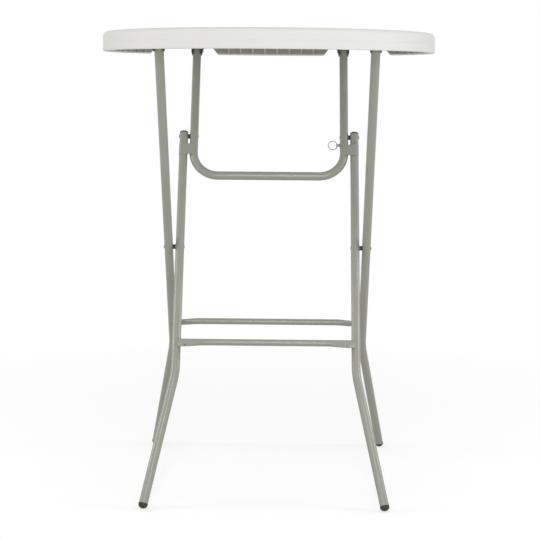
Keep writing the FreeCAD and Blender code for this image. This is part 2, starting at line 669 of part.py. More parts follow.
def main():
    """Writes each piece to its own file."""
    os.makedirs("parts", exist_ok=True)
    for name, shape in build().items():
        shape.exportStep(f"parts/{name}.step")


main()
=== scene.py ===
"""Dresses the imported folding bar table: smooth tubes, moulded top, caps, rivets, welds and finishes."""

from __future__ import annotations

import json
import logging
import math
from dataclasses import dataclass
from enum import Enum
from typing import Callable, Iterable, Sequence, Union

import bmesh
import bpy
from mathutils import Matrix, Vector

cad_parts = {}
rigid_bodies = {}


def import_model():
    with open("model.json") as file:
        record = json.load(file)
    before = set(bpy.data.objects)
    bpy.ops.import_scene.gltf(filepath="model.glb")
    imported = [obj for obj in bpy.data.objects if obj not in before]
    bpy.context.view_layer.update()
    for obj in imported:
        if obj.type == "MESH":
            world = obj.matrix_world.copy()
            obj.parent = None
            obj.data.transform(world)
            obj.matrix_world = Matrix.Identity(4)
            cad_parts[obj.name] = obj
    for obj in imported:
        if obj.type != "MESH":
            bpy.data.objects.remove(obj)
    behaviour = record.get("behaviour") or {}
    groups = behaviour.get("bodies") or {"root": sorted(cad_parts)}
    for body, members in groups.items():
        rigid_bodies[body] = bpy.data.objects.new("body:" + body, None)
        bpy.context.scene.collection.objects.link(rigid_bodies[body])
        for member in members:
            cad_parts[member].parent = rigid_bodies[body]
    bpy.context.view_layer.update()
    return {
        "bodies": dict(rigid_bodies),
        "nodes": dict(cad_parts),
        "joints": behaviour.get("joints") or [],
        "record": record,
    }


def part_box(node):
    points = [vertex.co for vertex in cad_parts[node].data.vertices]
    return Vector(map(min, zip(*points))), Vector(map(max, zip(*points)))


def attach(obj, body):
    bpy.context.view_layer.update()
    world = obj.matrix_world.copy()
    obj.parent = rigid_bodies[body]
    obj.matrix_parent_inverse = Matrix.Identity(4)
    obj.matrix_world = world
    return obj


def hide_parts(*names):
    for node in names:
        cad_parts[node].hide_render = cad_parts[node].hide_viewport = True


log = logging.getLogger("bar_table")

MM = 0.001
MIDDLE = 0.5
SMOOTH_BELOW = math.radians(35)
CARVED_SMOOTH_BELOW = math.radians(30)
BEVEL_ABOVE = math.radians(40)
BEVEL_SEGMENTS = 2
JOIN_WITHIN = 0.005 * MM
HOLE_SIDES, TURNED_SIDES, RIVET_SIDES, CAP_SIDES = 20, 32, 36, 40
EDGE_STEPS = 6
WIRE_SIDES = 12
Pair = tuple[float, float]
Colour = tuple[float, float, float]
Number = Union[float, "Value"]


class Side(Enum):
    """The two hands of the table, by the sign of X."""

    LEFT = -1
    RIGHT = 1


class Lean(Enum):
    """The way that the top of a frame leans, by the sign of Y; also a face of a frame."""

    FRONT = -1
    REAR = 1


class Body(Enum):
    """The rigid bodies that pieces ride on."""

    TOP = "top"
    OUTER = "outer_frame"
    INNER = "inner_frame"
    BRACE = "brace"
    RING = "pull_ring"


class Slot(Enum):
    """The record's material slots."""

    MOULDING = "moulded_top"
    PAINT = "frame_paint"
    BLACK = "black_plastic"
    STEEL = "bare_steel"


# Shader maths


class Value:
    """A shader socket that takes part in arithmetic; each operation adds a Math node."""

    def __init__(self, graph: "Graph", socket: bpy.types.NodeSocket) -> None:
        """Keeps the socket and the graph that it belongs to."""
        self.graph = graph
        self.socket = socket

    def _math(self, operation: str, first: Number, second: Number) -> "Value":
        """One Math node on two values."""
        return self.graph.add("ShaderNodeMath", {"operation": operation}, {0: first, 1: second})

    def __add__(self, other: Number) -> "Value":
        """Sum."""
        return self._math("ADD", self, other)

    def __radd__(self, other: Number) -> "Value":
        """Sum, with a number on the left."""
        return self._math("ADD", other, self)

    def __sub__(self, other: Number) -> "Value":
        """Difference."""
        return self._math("SUBTRACT", self, other)

    def __rsub__(self, other: Number) -> "Value":
        """Difference, with a number on the left."""
        return self._math("SUBTRACT", other, self)

    def __mul__(self, other: Number) -> "Value":
        """Product."""
        return self._math("MULTIPLY", self, other)

    def __or__(self, other: Number) -> "Value":
        """The larger of two values."""
        return self._math("MAXIMUM", self, other)

    def clamped(self, low: float, high: float) -> "Value":
        """The value mapped from low..high to 0..1 and held there."""
        return self.graph.add("ShaderNodeMapRange", {"clamp": True}, {0: self, 1: low, 2: high})


class Nodes:
    """A node tree, with one method that adds any node."""

    def __init__(self, tree: bpy.types.NodeTree) -> None:
        """Keeps the tree that nodes are added to."""
        self.tree = tree

    def add(self, kind: str, settings: dict, sockets: dict, output: Union[int, str] = 0) -> Value:
        """Adds any node.

        Args:
            kind: the node's type.
            settings: attributes set first.
            sockets: values or links by socket name or number.
            output: the output to hand back.

        Returns:
            The chosen output as a value.
        """
        node = self.tree.nodes.new(kind)
        for key, value in settings.items():
            setattr(node, key, value)
        for key, value in sockets.items():
            self._feed(node.inputs[key], value)
        return Value(self, node.outputs[output])

    def _feed(self, socket: bpy.types.NodeSocket, value: object) -> None:
        """Links a value to a socket, or sets a constant on it.

        Args:
            socket: the socket.
            value: a value to link or a constant.
        """
        if isinstance(value, Value):
            self.tree.links.new(value.socket, socket)
        else:
            socket.default_value = value

    def seen_apart(self, lit: Value, seen: Value) -> Value:
        """One shader where the camera, a reflection or a refraction looks, and another for other light.

        Args:
            lit: the shader for other light.
            seen: the shader that is looked at.

        Returns:
            Both shaders, mixed by the kind of ray.
        """
        kinds = ("Is Camera Ray", "Is Glossy Ray", "Is Transmission Ray")
        camera, glossy, through = (self.add("ShaderNodeLightPath", {}, {}, kind) for kind in kinds)
        return self.add("ShaderNodeMixShader", {}, {0: camera | glossy | through, 1: lit, 2: seen})

    def show(self, shader: Value, output: str) -> None:
        """Feeds a shader to the tree's output node."""
        self.tree.links.new(shader.socket, self.tree.nodes[output].inputs["Surface"])


class Graph(Nodes):
    """The node tree of one material, with a Principled shader at its end."""

    MIX_FACTOR, MIX_FIRST, MIX_SECOND, MIX_RESULT = 0, 6, 7, 2

    def __init__(self, name: str) -> None:
        """Starts a material.

        Args:
            name: the material's name.
        """
        self.material = bpy.data.materials.new(name)
        self.material.use_nodes = True
        super().__init__(self.material.node_tree)
        self.shader = self.tree.nodes["Principled BSDF"]
        self.place = self.add("ShaderNodeTexCoord", {}, {}, "Object")

    def noise(self, scale: float, detail: float = 2.0, roughness: float = 0.5) -> Value:
        """Noise in object space, with the scale in cells per metre."""
        sockets = {"Vector": self.place, "Scale": scale, "Detail": detail, "Roughness": roughness}
        return self.add("ShaderNodeTexNoise", {}, sockets)

    def cells(self, scale: float) -> Value:
        """Distance to the nearest cell centre, with the scale in cells per metre."""
        return self.add("ShaderNodeTexVoronoi", {}, {"Vector": self.place, "Scale": scale}, "Distance")

    def stretched(self, factors: Vector) -> Value:
        """Object coordinates multiplied along each axis."""
        settings = {"operation": "MULTIPLY"}
        return self.add("ShaderNodeVectorMath", settings, {0: self.place, 1: factors})

    def mix(self, factor: Number, first: object, second: object) -> Value:
        """A colour between two colours."""
        sockets = {self.MIX_FACTOR: factor, self.MIX_FIRST: first, self.MIX_SECOND: second}
        return self.add("ShaderNodeMix", {"data_type": "RGBA"}, sockets, self.MIX_RESULT)

    def bump(self, height: Value, strength: float, depth: float) -> Value:
        """A normal from a height map, with its depth in metres."""
        return self.add("ShaderNodeBump", {}, {"Strength": strength, "Distance": depth, "Height": height})

    def dress(self, **sockets: object) -> bpy.types.Material:
        """Feeds the shader's sockets.

        Args:
            sockets: values by socket name, with spaces written as underscores.

        Returns:
            The material.
        """
        for key, value in sockets.items():
            self._feed(self.shader.inputs[key.replace("_", " ")], value)
        return self.material


def rgba(colour: Colour, gain: float = 1.0) -> tuple[float, float, float, float]:
    """A colour times a gain, with full alpha."""
    return (colour[0] * gain, colour[1] * gain, colour[2] * gain, 1.0)


@dataclass(frozen=True)
class PowderCoat:
    """Half-gloss powder coat with a fine orange peel and a few paler grains."""

    name: str = "grey_powder_coat"
    colour: Colour = (0.342, 0.344, 0.297)
    tones: Pair = (0.94, 1.06)
    roughness: float = 0.22
    uneven: Pair = (0.10, 0.08)
    relief: Pair = (0.09, 0.08 * MM)
    specular: float = 0.5
    peel_per_m: float = 900.0
    grain_per_m: float = 2600.0
    grain_share: float = 0.25
    drift_per_m: float = 14.0
    flecks: Pair = (0.60, 0.74)
    fleck_share: float = 0.35
    fleck_gain: float = 1.35

    def material(self) -> bpy.types.Material:
        """Makes the material.

        Returns:
            The finished material.
        """
        graph = Graph(self.name)
        drift = graph.noise(self.drift_per_m, 3.0)
        grain = graph.noise(self.grain_per_m, 1.0)
        peel = graph.noise(self.peel_per_m, 2.0)
        flecks = grain.clamped(*self.flecks)
        tone = graph.mix(drift, *(rgba(self.colour, gain) for gain in self.tones))
        colour = graph.mix(flecks * self.fleck_share, tone, rgba(self.colour, self.fleck_gain))
        by_peel, by_drift = self.uneven
        roughness = self.roughness + (peel - MIDDLE) * by_peel + (drift - MIDDLE) * by_drift
        normal = graph.bump(peel + grain * self.grain_share, *self.relief)
        return graph.dress(Base_Color=colour, Roughness=roughness, Normal=normal,
                           Specular_IOR_Level=self.specular)


@dataclass(frozen=True)
class MouldedWhite:
    """Warm white blow moulding with a pebbled skin, faint flow marks and painted shade on the rim's inner
    wall.
    """

    name: str = "white_moulding"
    colour: Colour = (0.840, 0.835, 0.805)
    tones: Pair = (0.975, 1.02)
    roughness: float = 0.52
    uneven: Pair = (0.10, 0.06)
    relief: Pair = (0.16, 0.12 * MM)
    specular: float = 0.3
    pebble_per_m: float = 620.0
    pebbles: Pair = (0.45, 0.8)
    pebble_share: float = 0.25
    pebble_gain: float = 0.93
    flow_per_m: float = 5.0
    flow: Pair = (0.3, 0.7)
    dust_finer: float = 2.5
    dust_share: float = 0.2
    # painted shade: the darker olive colour given to the rim's inner wall, standing in for the shade of the
    # recess
    painted_shade_colour: Colour = (0.330, 0.312, 0.255)
    wall_radii: Pair = (379.5 * MM, 387.5 * MM)
    wall_heights: Pair = (1058.5 * MM, 1079.0 * MM)
    wall_soft: float = 2.0 * MM

    def painted_shade_mask(self, graph: Graph) -> Value:
        """A mask of the rim's inner wall between the gussets, where shade is painted in a darker colour.

        Args:
            graph: the material's node tree.

        Returns:
            1 on the wall, 0 elsewhere.
        """
        flat = graph.stretched(Vector((1.0, 1.0, 0.0)))
        radius = graph.add("ShaderNodeVectorMath", {"operation": "LENGTH"}, {0: flat}, "Value")
        height = graph.add("ShaderNodeSeparateXYZ", {}, {0: graph.place}, "Z")
        inner, outer = self.wall_radii
        low, high = self.wall_heights
        soft = self.wall_soft
        beyond = radius.clamped(outer, outer + soft) | height.clamped(high, high + soft)
        return radius.clamped(inner - soft, inner + soft) * height.clamped(low - soft, low) * (1.0 - beyond)

    def material(self) -> bpy.types.Material:
        """Makes the material.

        Returns:
            The finished material.
        """
        graph = Graph(self.name)
        pebbles = graph.cells(self.pebble_per_m)
        flow = graph.noise(self.flow_per_m, 4.0, 0.6)
        dust = graph.noise(self.pebble_per_m * self.dust_finer, 1.0)
        tone = graph.mix(flow.clamped(*self.flow), *(rgba(self.colour, gain) for gain in self.tones))
        # painted shade: the rim's inner wall between the gussets is mixed towards the darker colour
        skin = graph.mix(self.painted_shade_mask(graph), tone, rgba(self.painted_shade_colour))
        edges = pebbles.clamped(*self.pebbles) * self.pebble_share
        colour = graph.mix(edges, skin, rgba(self.colour, self.pebble_gain))
        by_flow, by_dust = self.uneven
        roughness = self.roughness + (flow - MIDDLE) * by_flow + (dust - MIDDLE) * by_dust
        normal = graph.bump((1.0 - pebbles) + dust * self.dust_share, *self.relief)
        return graph.dress(Base_Color=colour, Roughness=roughness, Normal=normal,
                           Specular_IOR_Level=self.specular)


@dataclass(frozen=True)
class BlackMoulding:
    """Black plastic or rubber with a fine grain and a bloom of dust."""

    name: str = "black_moulding"
    colour: Colour = (0.017, 0.017, 0.015)
    bloom: Colour = (0.055, 0.056, 0.047)
    roughness: float = 0.48
    uneven: Pair = (0.18, 0.06)
    relief: Pair = (0.2, 0.06 * MM)
    grain_per_m: float = 1500.0
    dust_per_m: float = 160.0
    dust: Pair = (0.42, 0.78)
    bloom_share: float = 0.5
    dust_share: float = 0.3

    def material(self) -> bpy.types.Material:
        """Makes the material.

        Returns:
            The finished material.
        """
        graph = Graph(self.name)
        grain = graph.cells(self.grain_per_m)
        dust = graph.noise(self.dust_per_m, 5.0, 0.65)
        bloom = dust.clamped(*self.dust) * self.bloom_share
        colour = graph.mix(bloom, rgba(self.colour), rgba(self.bloom))
        by_dust, by_grain = self.uneven
        roughness = self.roughness + dust * by_dust - grain * by_grain
        normal = graph.bump(grain + dust * self.dust_share, *self.relief)
        return graph.dress(Base_Color=colour, Roughness=roughness, Normal=normal)


@dataclass(frozen=True)
class PlatedSteel:
    """Plated steel with a soft haze, fine turning marks and a few dull spots."""

    name: str = "plated_steel"
    colour: Colour = (0.36, 0.36, 0.34)
    tones: Pair = (0.86, 1.08)
    roughness: float = 0.30
    uneven: Pair = (0.16, 0.10)
    relief: Pair = (0.12, 0.03 * MM)
    haze_per_m: float = 220.0
    haze: Pair = (0.35, 0.75)
    marks_per_m: float = 3800.0
    marks_stretch: float = 0.12

    def material(self) -> bpy.types.Material:
        """Makes the material.

        Returns:
            The finished material.
        """
        graph = Graph(self.name)
        haze = graph.noise(self.haze_per_m, 4.0, 0.6)
        along_x = graph.stretched(Vector((1.0, self.marks_stretch, self.marks_stretch)))
        sockets = {"Vector": along_x, "Scale": self.marks_per_m, "Detail": 2.0}
        marks = graph.add("ShaderNodeTexNoise", {}, sockets)
        colour = graph.mix(haze.clamped(*self.haze), *(rgba(self.colour, gain) for gain in self.tones))
        by_haze, by_marks = self.uneven
        roughness = self.roughness + haze * by_haze + (marks - MIDDLE) * by_marks
        normal = graph.bump(marks + haze, *self.relief)
        return graph.dress(Base_Color=colour, Metallic=1.0, Roughness=roughness, Normal=normal)


FINISHES = {
    Slot.PAINT: PowderCoat(),
    Slot.MOULDING: MouldedWhite(),
    Slot.BLACK: BlackMoulding(),
    Slot.STEEL: PlatedSteel(),
}


# Mesh building


@dataclass(frozen=True)
class Place:
    """A local frame: across is X, out is the normal of a tube frame, along runs up it."""

    origin: Vector
    across: Vector
    out: Vector
    along: Vector

    def at(self, across: float, out: float, along: float) -> Vector:
        """A local point in the table's own frame."""
        return self.origin + self.across * across + self.out * out + self.along * along


def rounded(corners: Sequence[Pair], radii: Sequence[float], steps: int = 10) -> list[Pair]:
    """A flat path with an arc at each inner corner.

    Args:
        corners: the path's corners.
        radii: the radius at each inner corner; 0 keeps it sharp.
        steps: straight pieces in each arc.

    Returns:
        The points of the path.
    """
    points = [corners[0]]
    for before, corner, after, radius in zip(corners, corners[1:], corners[2:], radii):
        middle = Vector(corner)
        back = (Vector(before) - middle).normalized()
        ahead = (Vector(after) - middle).normalized()
        if radius == 0:
            points.append(corner)
            continue
        half = (math.pi - back.angle(ahead)) / 2
        centre = middle + (back + ahead).normalized() * (radius / math.cos(half))
        start = middle + back * (radius * math.tan(half)) - centre
        sweep = start.angle_signed(middle + ahead * (radius * math.tan(half)) - centre)
        for step in range(steps + 1):
            turn = -sweep * step / steps
            turned = Matrix.Rotation(turn, 2) @ start
            points.append(tuple(centre + turned))
    points.append(corners[-1])
    return points


def oval(half_wide: float, half_deep: float, count: int, power: float = 2.0) -> list[Pair]:
    """A round, oval or squarish section.

    Args:
        half_wide: half of its first size.
        half_deep: half of its second size.
        count: number of points.
        power: 2 for an ellipse, more for squarer corners.

    Returns:
        Its points.
    """
    points = []
    for index in range(count):
        turn = 2 * math.pi * index / count
        wide = math.copysign(abs(math.cos(turn)) ** (2 / power), math.cos(turn))
        deep = math.copysign(abs(math.sin(turn)) ** (2 / power), math.sin(turn))
        points.append((half_wide * wide, half_deep * deep))
    return points


def disc(radius: float, depth: float) -> list[Pair]:
    """The profile of a plain disc, for turning."""
    return [(0, 0), (radius, 0), (radius, depth), (0, depth)]


class Skin:
    """The points and faces of one piece as it is built."""

    def __init__(self) -> None:
        """Starts with nothing."""
        self.points: list[Vector] = []
        self.faces: list[list[int]] = []

    def ring(self, points: Iterable[Vector]) -> list[int]:
        """Adds a ring of points.

        Args:
            points: the points.

        Returns:
            Their numbers.
        """
        start = len(self.points)
        self.points.extend(points)
        return list(range(start, len(self.points)))

    def face(self, numbers: list[int]) -> None:
        """Adds one face."""
        self.faces.append(numbers)

    def bridge(self, first: list[int], second: list[int]) -> None:
        """Joins two rings of the same count by quads, or a ring to a single point by triangles.

        Args:
            first: the numbers of one ring.
            second: the numbers of the other.
        """
        if len(first) == 1:
            first, second = second, first
        count = len(first)
        for index in range(count):
            following = (index + 1) % count
            if len(second) == 1:
                self.face([first[index], first[following], second[0]])
            else:
                self.face([first[index], first[following], second[following], second[index]])

    def lathe(self, profile: Sequence[Pair], start: Vector, axis: Vector, count: int) -> None:
        """Turns a profile of (radius, height) about an axis.

        Args:
            profile: the profile; a radius of 0 is a point on the axis.
            start: the point of height 0.
            axis: the direction of height.
            count: points in each ring.
        """
        side = axis.orthogonal().normalized()
        deep = axis.cross(side).normalized()
        rings = []
        for radius, height in profile:
            centre = start + axis * height
            turns = [2 * math.pi * index / count for index in range(count if radius > 0 else 1)]
            spokes = [side * math.cos(turn) + deep * math.sin(turn) for turn in turns]
            rings.append(self.ring(centre + spoke * radius for spoke in spokes))
        for first, second in zip(rings, rings[1:]):
            self.bridge(first, second)

    def section(self, point: Vector, ahead: Vector, normal: Vector, shape: Sequence[Pair]) -> list[int]:
        """Adds the ring of one section across a path and hands back its numbers."""
        side = normal.cross(ahead).normalized()
        return self.ring(point + side * a + normal * b for a, b in shape)

    def sweep(self, path: Sequence[Vector], normal: Vector, section: Callable[[int], Sequence[Pair]],
              closed_ends: bool = True) -> list[list[int]]:
        """Carries a section along a path that lies about in one plane.

        Args:
            path: the points of the path.
            normal: the plane's normal, which is the section's second direction.
            section: the section at each point of the path, by its number.
            closed_ends: whether the ends are closed by faces.

        Returns:
            The rings of points.
        """
        rings = []
        for index, point in enumerate(path):
            ahead = path[min(index + 1, len(path) - 1)] - path[max(index - 1, 0)]
            rings.append(self.section(point, ahead, normal, section(index)))
        for first, second in zip(rings, rings[1:]):
            self.bridge(first, second)
        if closed_ends:
            self.face(rings[0])
            self.face(rings[-1])
        return rings

    def prism(self, outline: Sequence[Vector], depth: Vector) -> None:
        """Extrudes a flat outline.

        Args:
            outline: its points.
            depth: the way and the length of the extrusion.
        """
        first = self.ring(outline)
        second = self.ring(point + depth for point in outline)
        self.bridge(first, second)
        self.face(first)
        self.face(second)

    def object(self, name: str) -> bpy.types.Object:
        """Makes the object, with its faces turned outwards and smooth between sharp edges.

        Args:
            name: the piece's name.

        Returns:
            The object, linked to the scene.
        """
        mesh = bpy.data.meshes.new(name)
        mesh.from_pydata(self.points, [], self.faces)
        made = bpy.data.objects.new(name, mesh)
        bpy.context.scene.collection.objects.link(made)
        smoothed(made, SMOOTH_BELOW)
        return made


def smoothed(made: bpy.types.Object, below: float) -> None:
    """Turns an object's faces outwards and smooths it between sharp edges.

    Args:
        made: the object.
        below: edges that turn by more than this angle stay sharp.
    """
    work = bmesh.new()
    work.from_mesh(made.data)
    bmesh.ops.recalc_face_normals(work, faces=work.faces)
    work.to_mesh(made.data)
    work.free()
    made.data.polygons.foreach_set("use_smooth", [True] * len(made.data.polygons))
    made.data.set_sharp_from_angle(angle=below)


def applied(made: bpy.types.Object) -> None:
    """Puts the result of an object's modifiers into its mesh.

    Args:
        made: the object.
    """
    graph = bpy.context.evaluated_depsgraph_get()
    mesh = bpy.data.meshes.new_from_object(made.evaluated_get(graph))
    made.modifiers.clear()
    made.data = mesh


def carved(made: bpy.types.Object, cutter: Skin) -> None:
    """Takes a cutter's solids out of an object.

    Args:
        made: the object.
        cutter: the solids.
    """
    tool = cutter.object("cutter")
    cut = made.modifiers.new("carve", "BOOLEAN")
    cut.operation = "DIFFERENCE"
    cut.solver = "EXACT"
    cut.object = tool
    applied(made)
    bpy.data.objects.remove(tool)
    smoothed(made, CARVED_SMOOTH_BELOW)


def softened(made: bpy.types.Object, width: float, weld: bool = False) -> None:
    """Rounds the sharp edges of a piece by a bevel.

    Args:
        made: the piece.
        width: the bevel's width.
        weld: whether doubled points are joined first.
    """
    if weld:
        joined = made.modifiers.new("weld", "WELD")
        joined.merge_threshold = JOIN_WITHIN
    bevel = made.modifiers.new("soft_edges", "BEVEL")
    bevel.width = width
    bevel.segments = BEVEL_SEGMENTS
    bevel.limit_method = "ANGLE"
    bevel.angle_limit = BEVEL_ABOVE
    bevel.harden_normals = True


@dataclass
class Fitter:
    """Puts finishes on pieces and makes them ride on their bodies."""

    materials: dict[Slot, bpy.types.Material]
    frame: dict

    def fit(self, made: bpy.types.Object, body: Body, slot: Slot, *nodes: str) -> None:
        """Dresses a new piece.

        Args:
            made: the piece.
            body: the body that it rides on.
            slot: its finish.
            nodes: the solids that it stands for.
        """
        made.data.materials.clear()
        made.data.materials.append(self.materials[slot])
        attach(made, body.value)
        if nodes:
            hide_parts(*nodes)
        log.info("piece %s on %s", made.name, body.value)

    def keep(self, node: str, slot: Slot, bevel: float) -> None:
        """Dresses a solid that stays as it is, with softened edges.

        Args:
            node: the solid's node.
            slot: its finish.
            bevel: the width of its softened edges.
        """
        made = self.frame["nodes"][node]
        made.data.materials.clear()
        made.data.materials.append(self.materials[slot])
        softened(made, bevel, weld=True)
        log.info("kept %s", node)


@dataclass
class Layout:
    """Pivots and tube lines, worked out from the frame."""

    front_pivot: Vector
    rear_pivot: Vector
    cross: Vector
    outer_x: float
    inner_x: float
    loop_x: float
    tube: float = 10.7 * MM
    wall: float = 1.2 * MM

    @classmethod
    def of(cls, frame: dict) -> "Layout":
        """Reads the pivots from the joints and the tubes' places from their solids.

        Args:
            frame: the loaded frame.

        Returns:
            The layout.
        """
        pivots = {joint["name"]: Vector(joint["pos_m"]) for joint in frame["joints"] if "pos_m" in joint}
        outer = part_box("outer_leg_right")[0].x + cls.tube
        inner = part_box("inner_leg_right")[0].x + cls.tube
        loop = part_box("brace_loop")[1].x - cls.tube
        return cls(pivots["fold"], pivots["brace_hinge"], pivots["cross_pivot"], outer, inner, loop)

    @property
    def half_span(self) -> float:
        """Half of the distance between the front and the rear pivots."""
        return (self.rear_pivot.y - self.front_pivot.y) / 2

    @property
    def lean(self) -> float:
        """Angle between a frame and the vertical."""
        return math.atan2(self.half_span, self.front_pivot.z - self.cross.z)

    @property
    def strut(self) -> float:
        """Distance from the cross to a pivot under the top."""
        return math.hypot(self.half_span, self.front_pivot.z - self.cross.z)

    @property
    def brace_pivot(self) -> float:
        """Distance from the cross to the brace pivot."""
        return self.strut - self.half_span

    def frame(self, top: Lean) -> Place:
        """The local frame of a set of tubes.

        Args:
            top: the way that their top leans.

        Returns:
            The frame, with its origin at the cross.
        """
        sine, cosine = top.value * math.sin(self.lean), math.cos(self.lean)
        along = Vector((0, sine, cosine))
        return Place(self.cross, Vector((1, 0, 0)), Vector((0, cosine, -sine)), along)


@dataclass
class MouldedTop:
    """The round top: a turned shell with notches, gussets and hollows."""

    fitter: Fitter
    layout: Layout
    ceiling_drop: float = 23.0 * MM
    rim_width: float = 14.0 * MM
    draft: float = 2.0 * MM
    edge_radii: tuple[float, ...] = (5.0 * MM, 3.5 * MM, 2.0 * MM, 0.0, 0.0, 0.0, 12.0 * MM)
    around: int = 288
    notch_inside_clear: float = 20.0 * MM
    notch_outside_clear: float = 40.0 * MM
    notch_slope: float = 18.0 * MM
    notch_radius: float = 6.0 * MM
    notch_flare: float = 3.0
    notch_start: float = 0.4
    buried_share: float = 0.4
    rib_count: int = 72
    rib_half: float = 2.0 * MM
    rib_depth: float = 6.0 * MM
    rib_clear: float = 3.0 * MM
    hollow_pitch: float = 132.0 * MM
    hollow_radius: float = 12.0 * MM
    hollow_floor: float = 9.0 * MM
    hollow_depth: float = 13.0 * MM
    hollow_margin: float = 45.0 * MM
    hollow_fillet: float = 3.0 * MM
    hollow_over: float = 1.0 * MM
    seam_drop: float = 27.0 * MM
    seam_depth: float = 0.5 * MM

    def __post_init__(self) -> None:
        """Reads the outer sizes from the solid."""
        low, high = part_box("tabletop")
        self.radius = min(high.x, high.y, -low.x, -low.y)
        self.low = low.z
        self.high = high.z
        self.ceiling = high.z - self.ceiling_drop
        self.inside = self.radius - self.rim_width
        self.notch_inside = self.layout.loop_x - self.layout.tube - self.notch_inside_clear
        self.notch_outside = self.layout.outer_x + self.layout.tube + self.notch_outside_clear

    def profile(self) -> list[Pair]:
        """Half of the section.

        Returns:
            Points of (radius, height), from the underside's middle round to the top's middle.
        """
        seam, groove = self.high - self.seam_drop, self.seam_depth
        corners = [(0, self.ceiling), (self.inside - self.draft, self.ceiling), (self.inside, self.low),
                   (self.radius, self.low), (self.radius, seam - groove), (self.radius - groove, seam),
                   (self.radius, seam + groove), (self.radius, self.high), (0, self.high)]
        return rounded(corners, self.edge_radii)

    def notch(self, cutter: Skin, side: Side) -> None:
        """Adds the cutter of one rim notch.

        Args:
            cutter: the piece that it is added to.
            side: its hand.
        """
        flare = self.notch_slope + self.notch_flare * self.notch_radius
        places = [(self.notch_inside - flare, self.low), (self.notch_inside - self.notch_slope, self.low),
                  (self.notch_inside, self.ceiling), (self.notch_outside, self.ceiling),
                  (self.notch_outside + self.notch_slope, self.low), (self.notch_outside + flare, self.low)]
        line = rounded(places, [self.notch_radius] * 4)
        under = self.low - self.rim_width
        line += [(places[-1][0], under), (places[0][0], under)]
        start = self.inside * self.notch_start
        outline = [Vector((side.value * x, start, z)) for x, z in line]
        cutter.prism(outline, Vector((0, self.radius, 0)))

    def gussets(self, skin: Skin) -> None:
        """Adds the small gussets round the inside of the rim, apart from those in the notches.

        Args:
            skin: the piece that they are added to.
        """
        buried = self.rim_width * self.buried_share
        for number in range(self.rib_count):
            turn = 2 * math.pi * (number + 0.5) / self.rib_count
            outward = Vector((math.cos(turn), math.sin(turn), 0))
            across = Vector((-math.sin(turn), math.cos(turn), 0))
            reach = abs(outward.x) * self.inside
            margin = self.notch_slope
            in_notch = self.notch_inside - margin < reach < self.notch_outside + margin
            if outward.y > 0 and in_notch:
                continue
            wall = self.inside - self.draft
            low = self.low + self.rib_clear
            places = [(wall - self.rib_depth, self.ceiling + buried), (wall - self.rib_depth, self.ceiling),
                      (wall - self.rib_depth / 2, low), (wall + buried, low),
                      (wall + buried, self.ceiling + buried)]
            outline = [outward * r + across * -self.rib_half + Vector((0, 0, z)) for r, z in places]
            skin.prism(outline, across * 2 * self.rib_half)

    def hollows(self, cutter: Skin) -> None:
        """Adds the cutters of the round hollows, on a triangular grid clear of rim and brackets.

        Args:
            cutter: the piece that they are added to.
        """
        place = self.layout
        brackets = [Vector((side.value * x, y)) for side in Side for x, y in
                    ((place.outer_x, place.front_pivot.y), (place.loop_x, place.rear_pivot.y))]
        reach = int(self.radius / self.hollow_pitch) + 2
        bowl = rounded([(0, self.hollow_depth), (self.hollow_floor, self.hollow_depth),
                        (self.hollow_radius, -self.hollow_over), (0, -self.hollow_over)],
                       [self.hollow_fillet, 0])
        for row in range(-reach, reach + 1):
            for column in range(-reach, reach + 1):
                x = (column + 0.5 * (row % 2)) * self.hollow_pitch
                spot = Vector((x, row * self.hollow_pitch * math.sqrt(0.75)))
                in_rim = spot.length > self.inside - self.hollow_margin
                if in_rim or any((spot - bracket).length < self.hollow_margin for bracket in brackets):
                    continue
                cutter.lathe(bowl, Vector((spot.x, spot.y, self.ceiling)), Vector((0, 0, 1)), TURNED_SIDES)

    def build(self) -> None:
        """Builds the top."""
        shell = Skin()
        shell.lathe(self.profile(), Vector(), Vector((0, 0, 1)), self.around)
        top = shell.object("moulded_top")
        cutter = Skin()
        for side in Side:
            self.notch(cutter, side)
        self.hollows(cutter)
        carved(top, cutter)
        self.fitter.fit(top, Body.TOP, Slot.MOULDING, "tabletop")
        ribs = Skin()
        self.gussets(ribs)
        self.fitter.fit(ribs.object("rim_gussets"), Body.TOP, Slot.MOULDING)


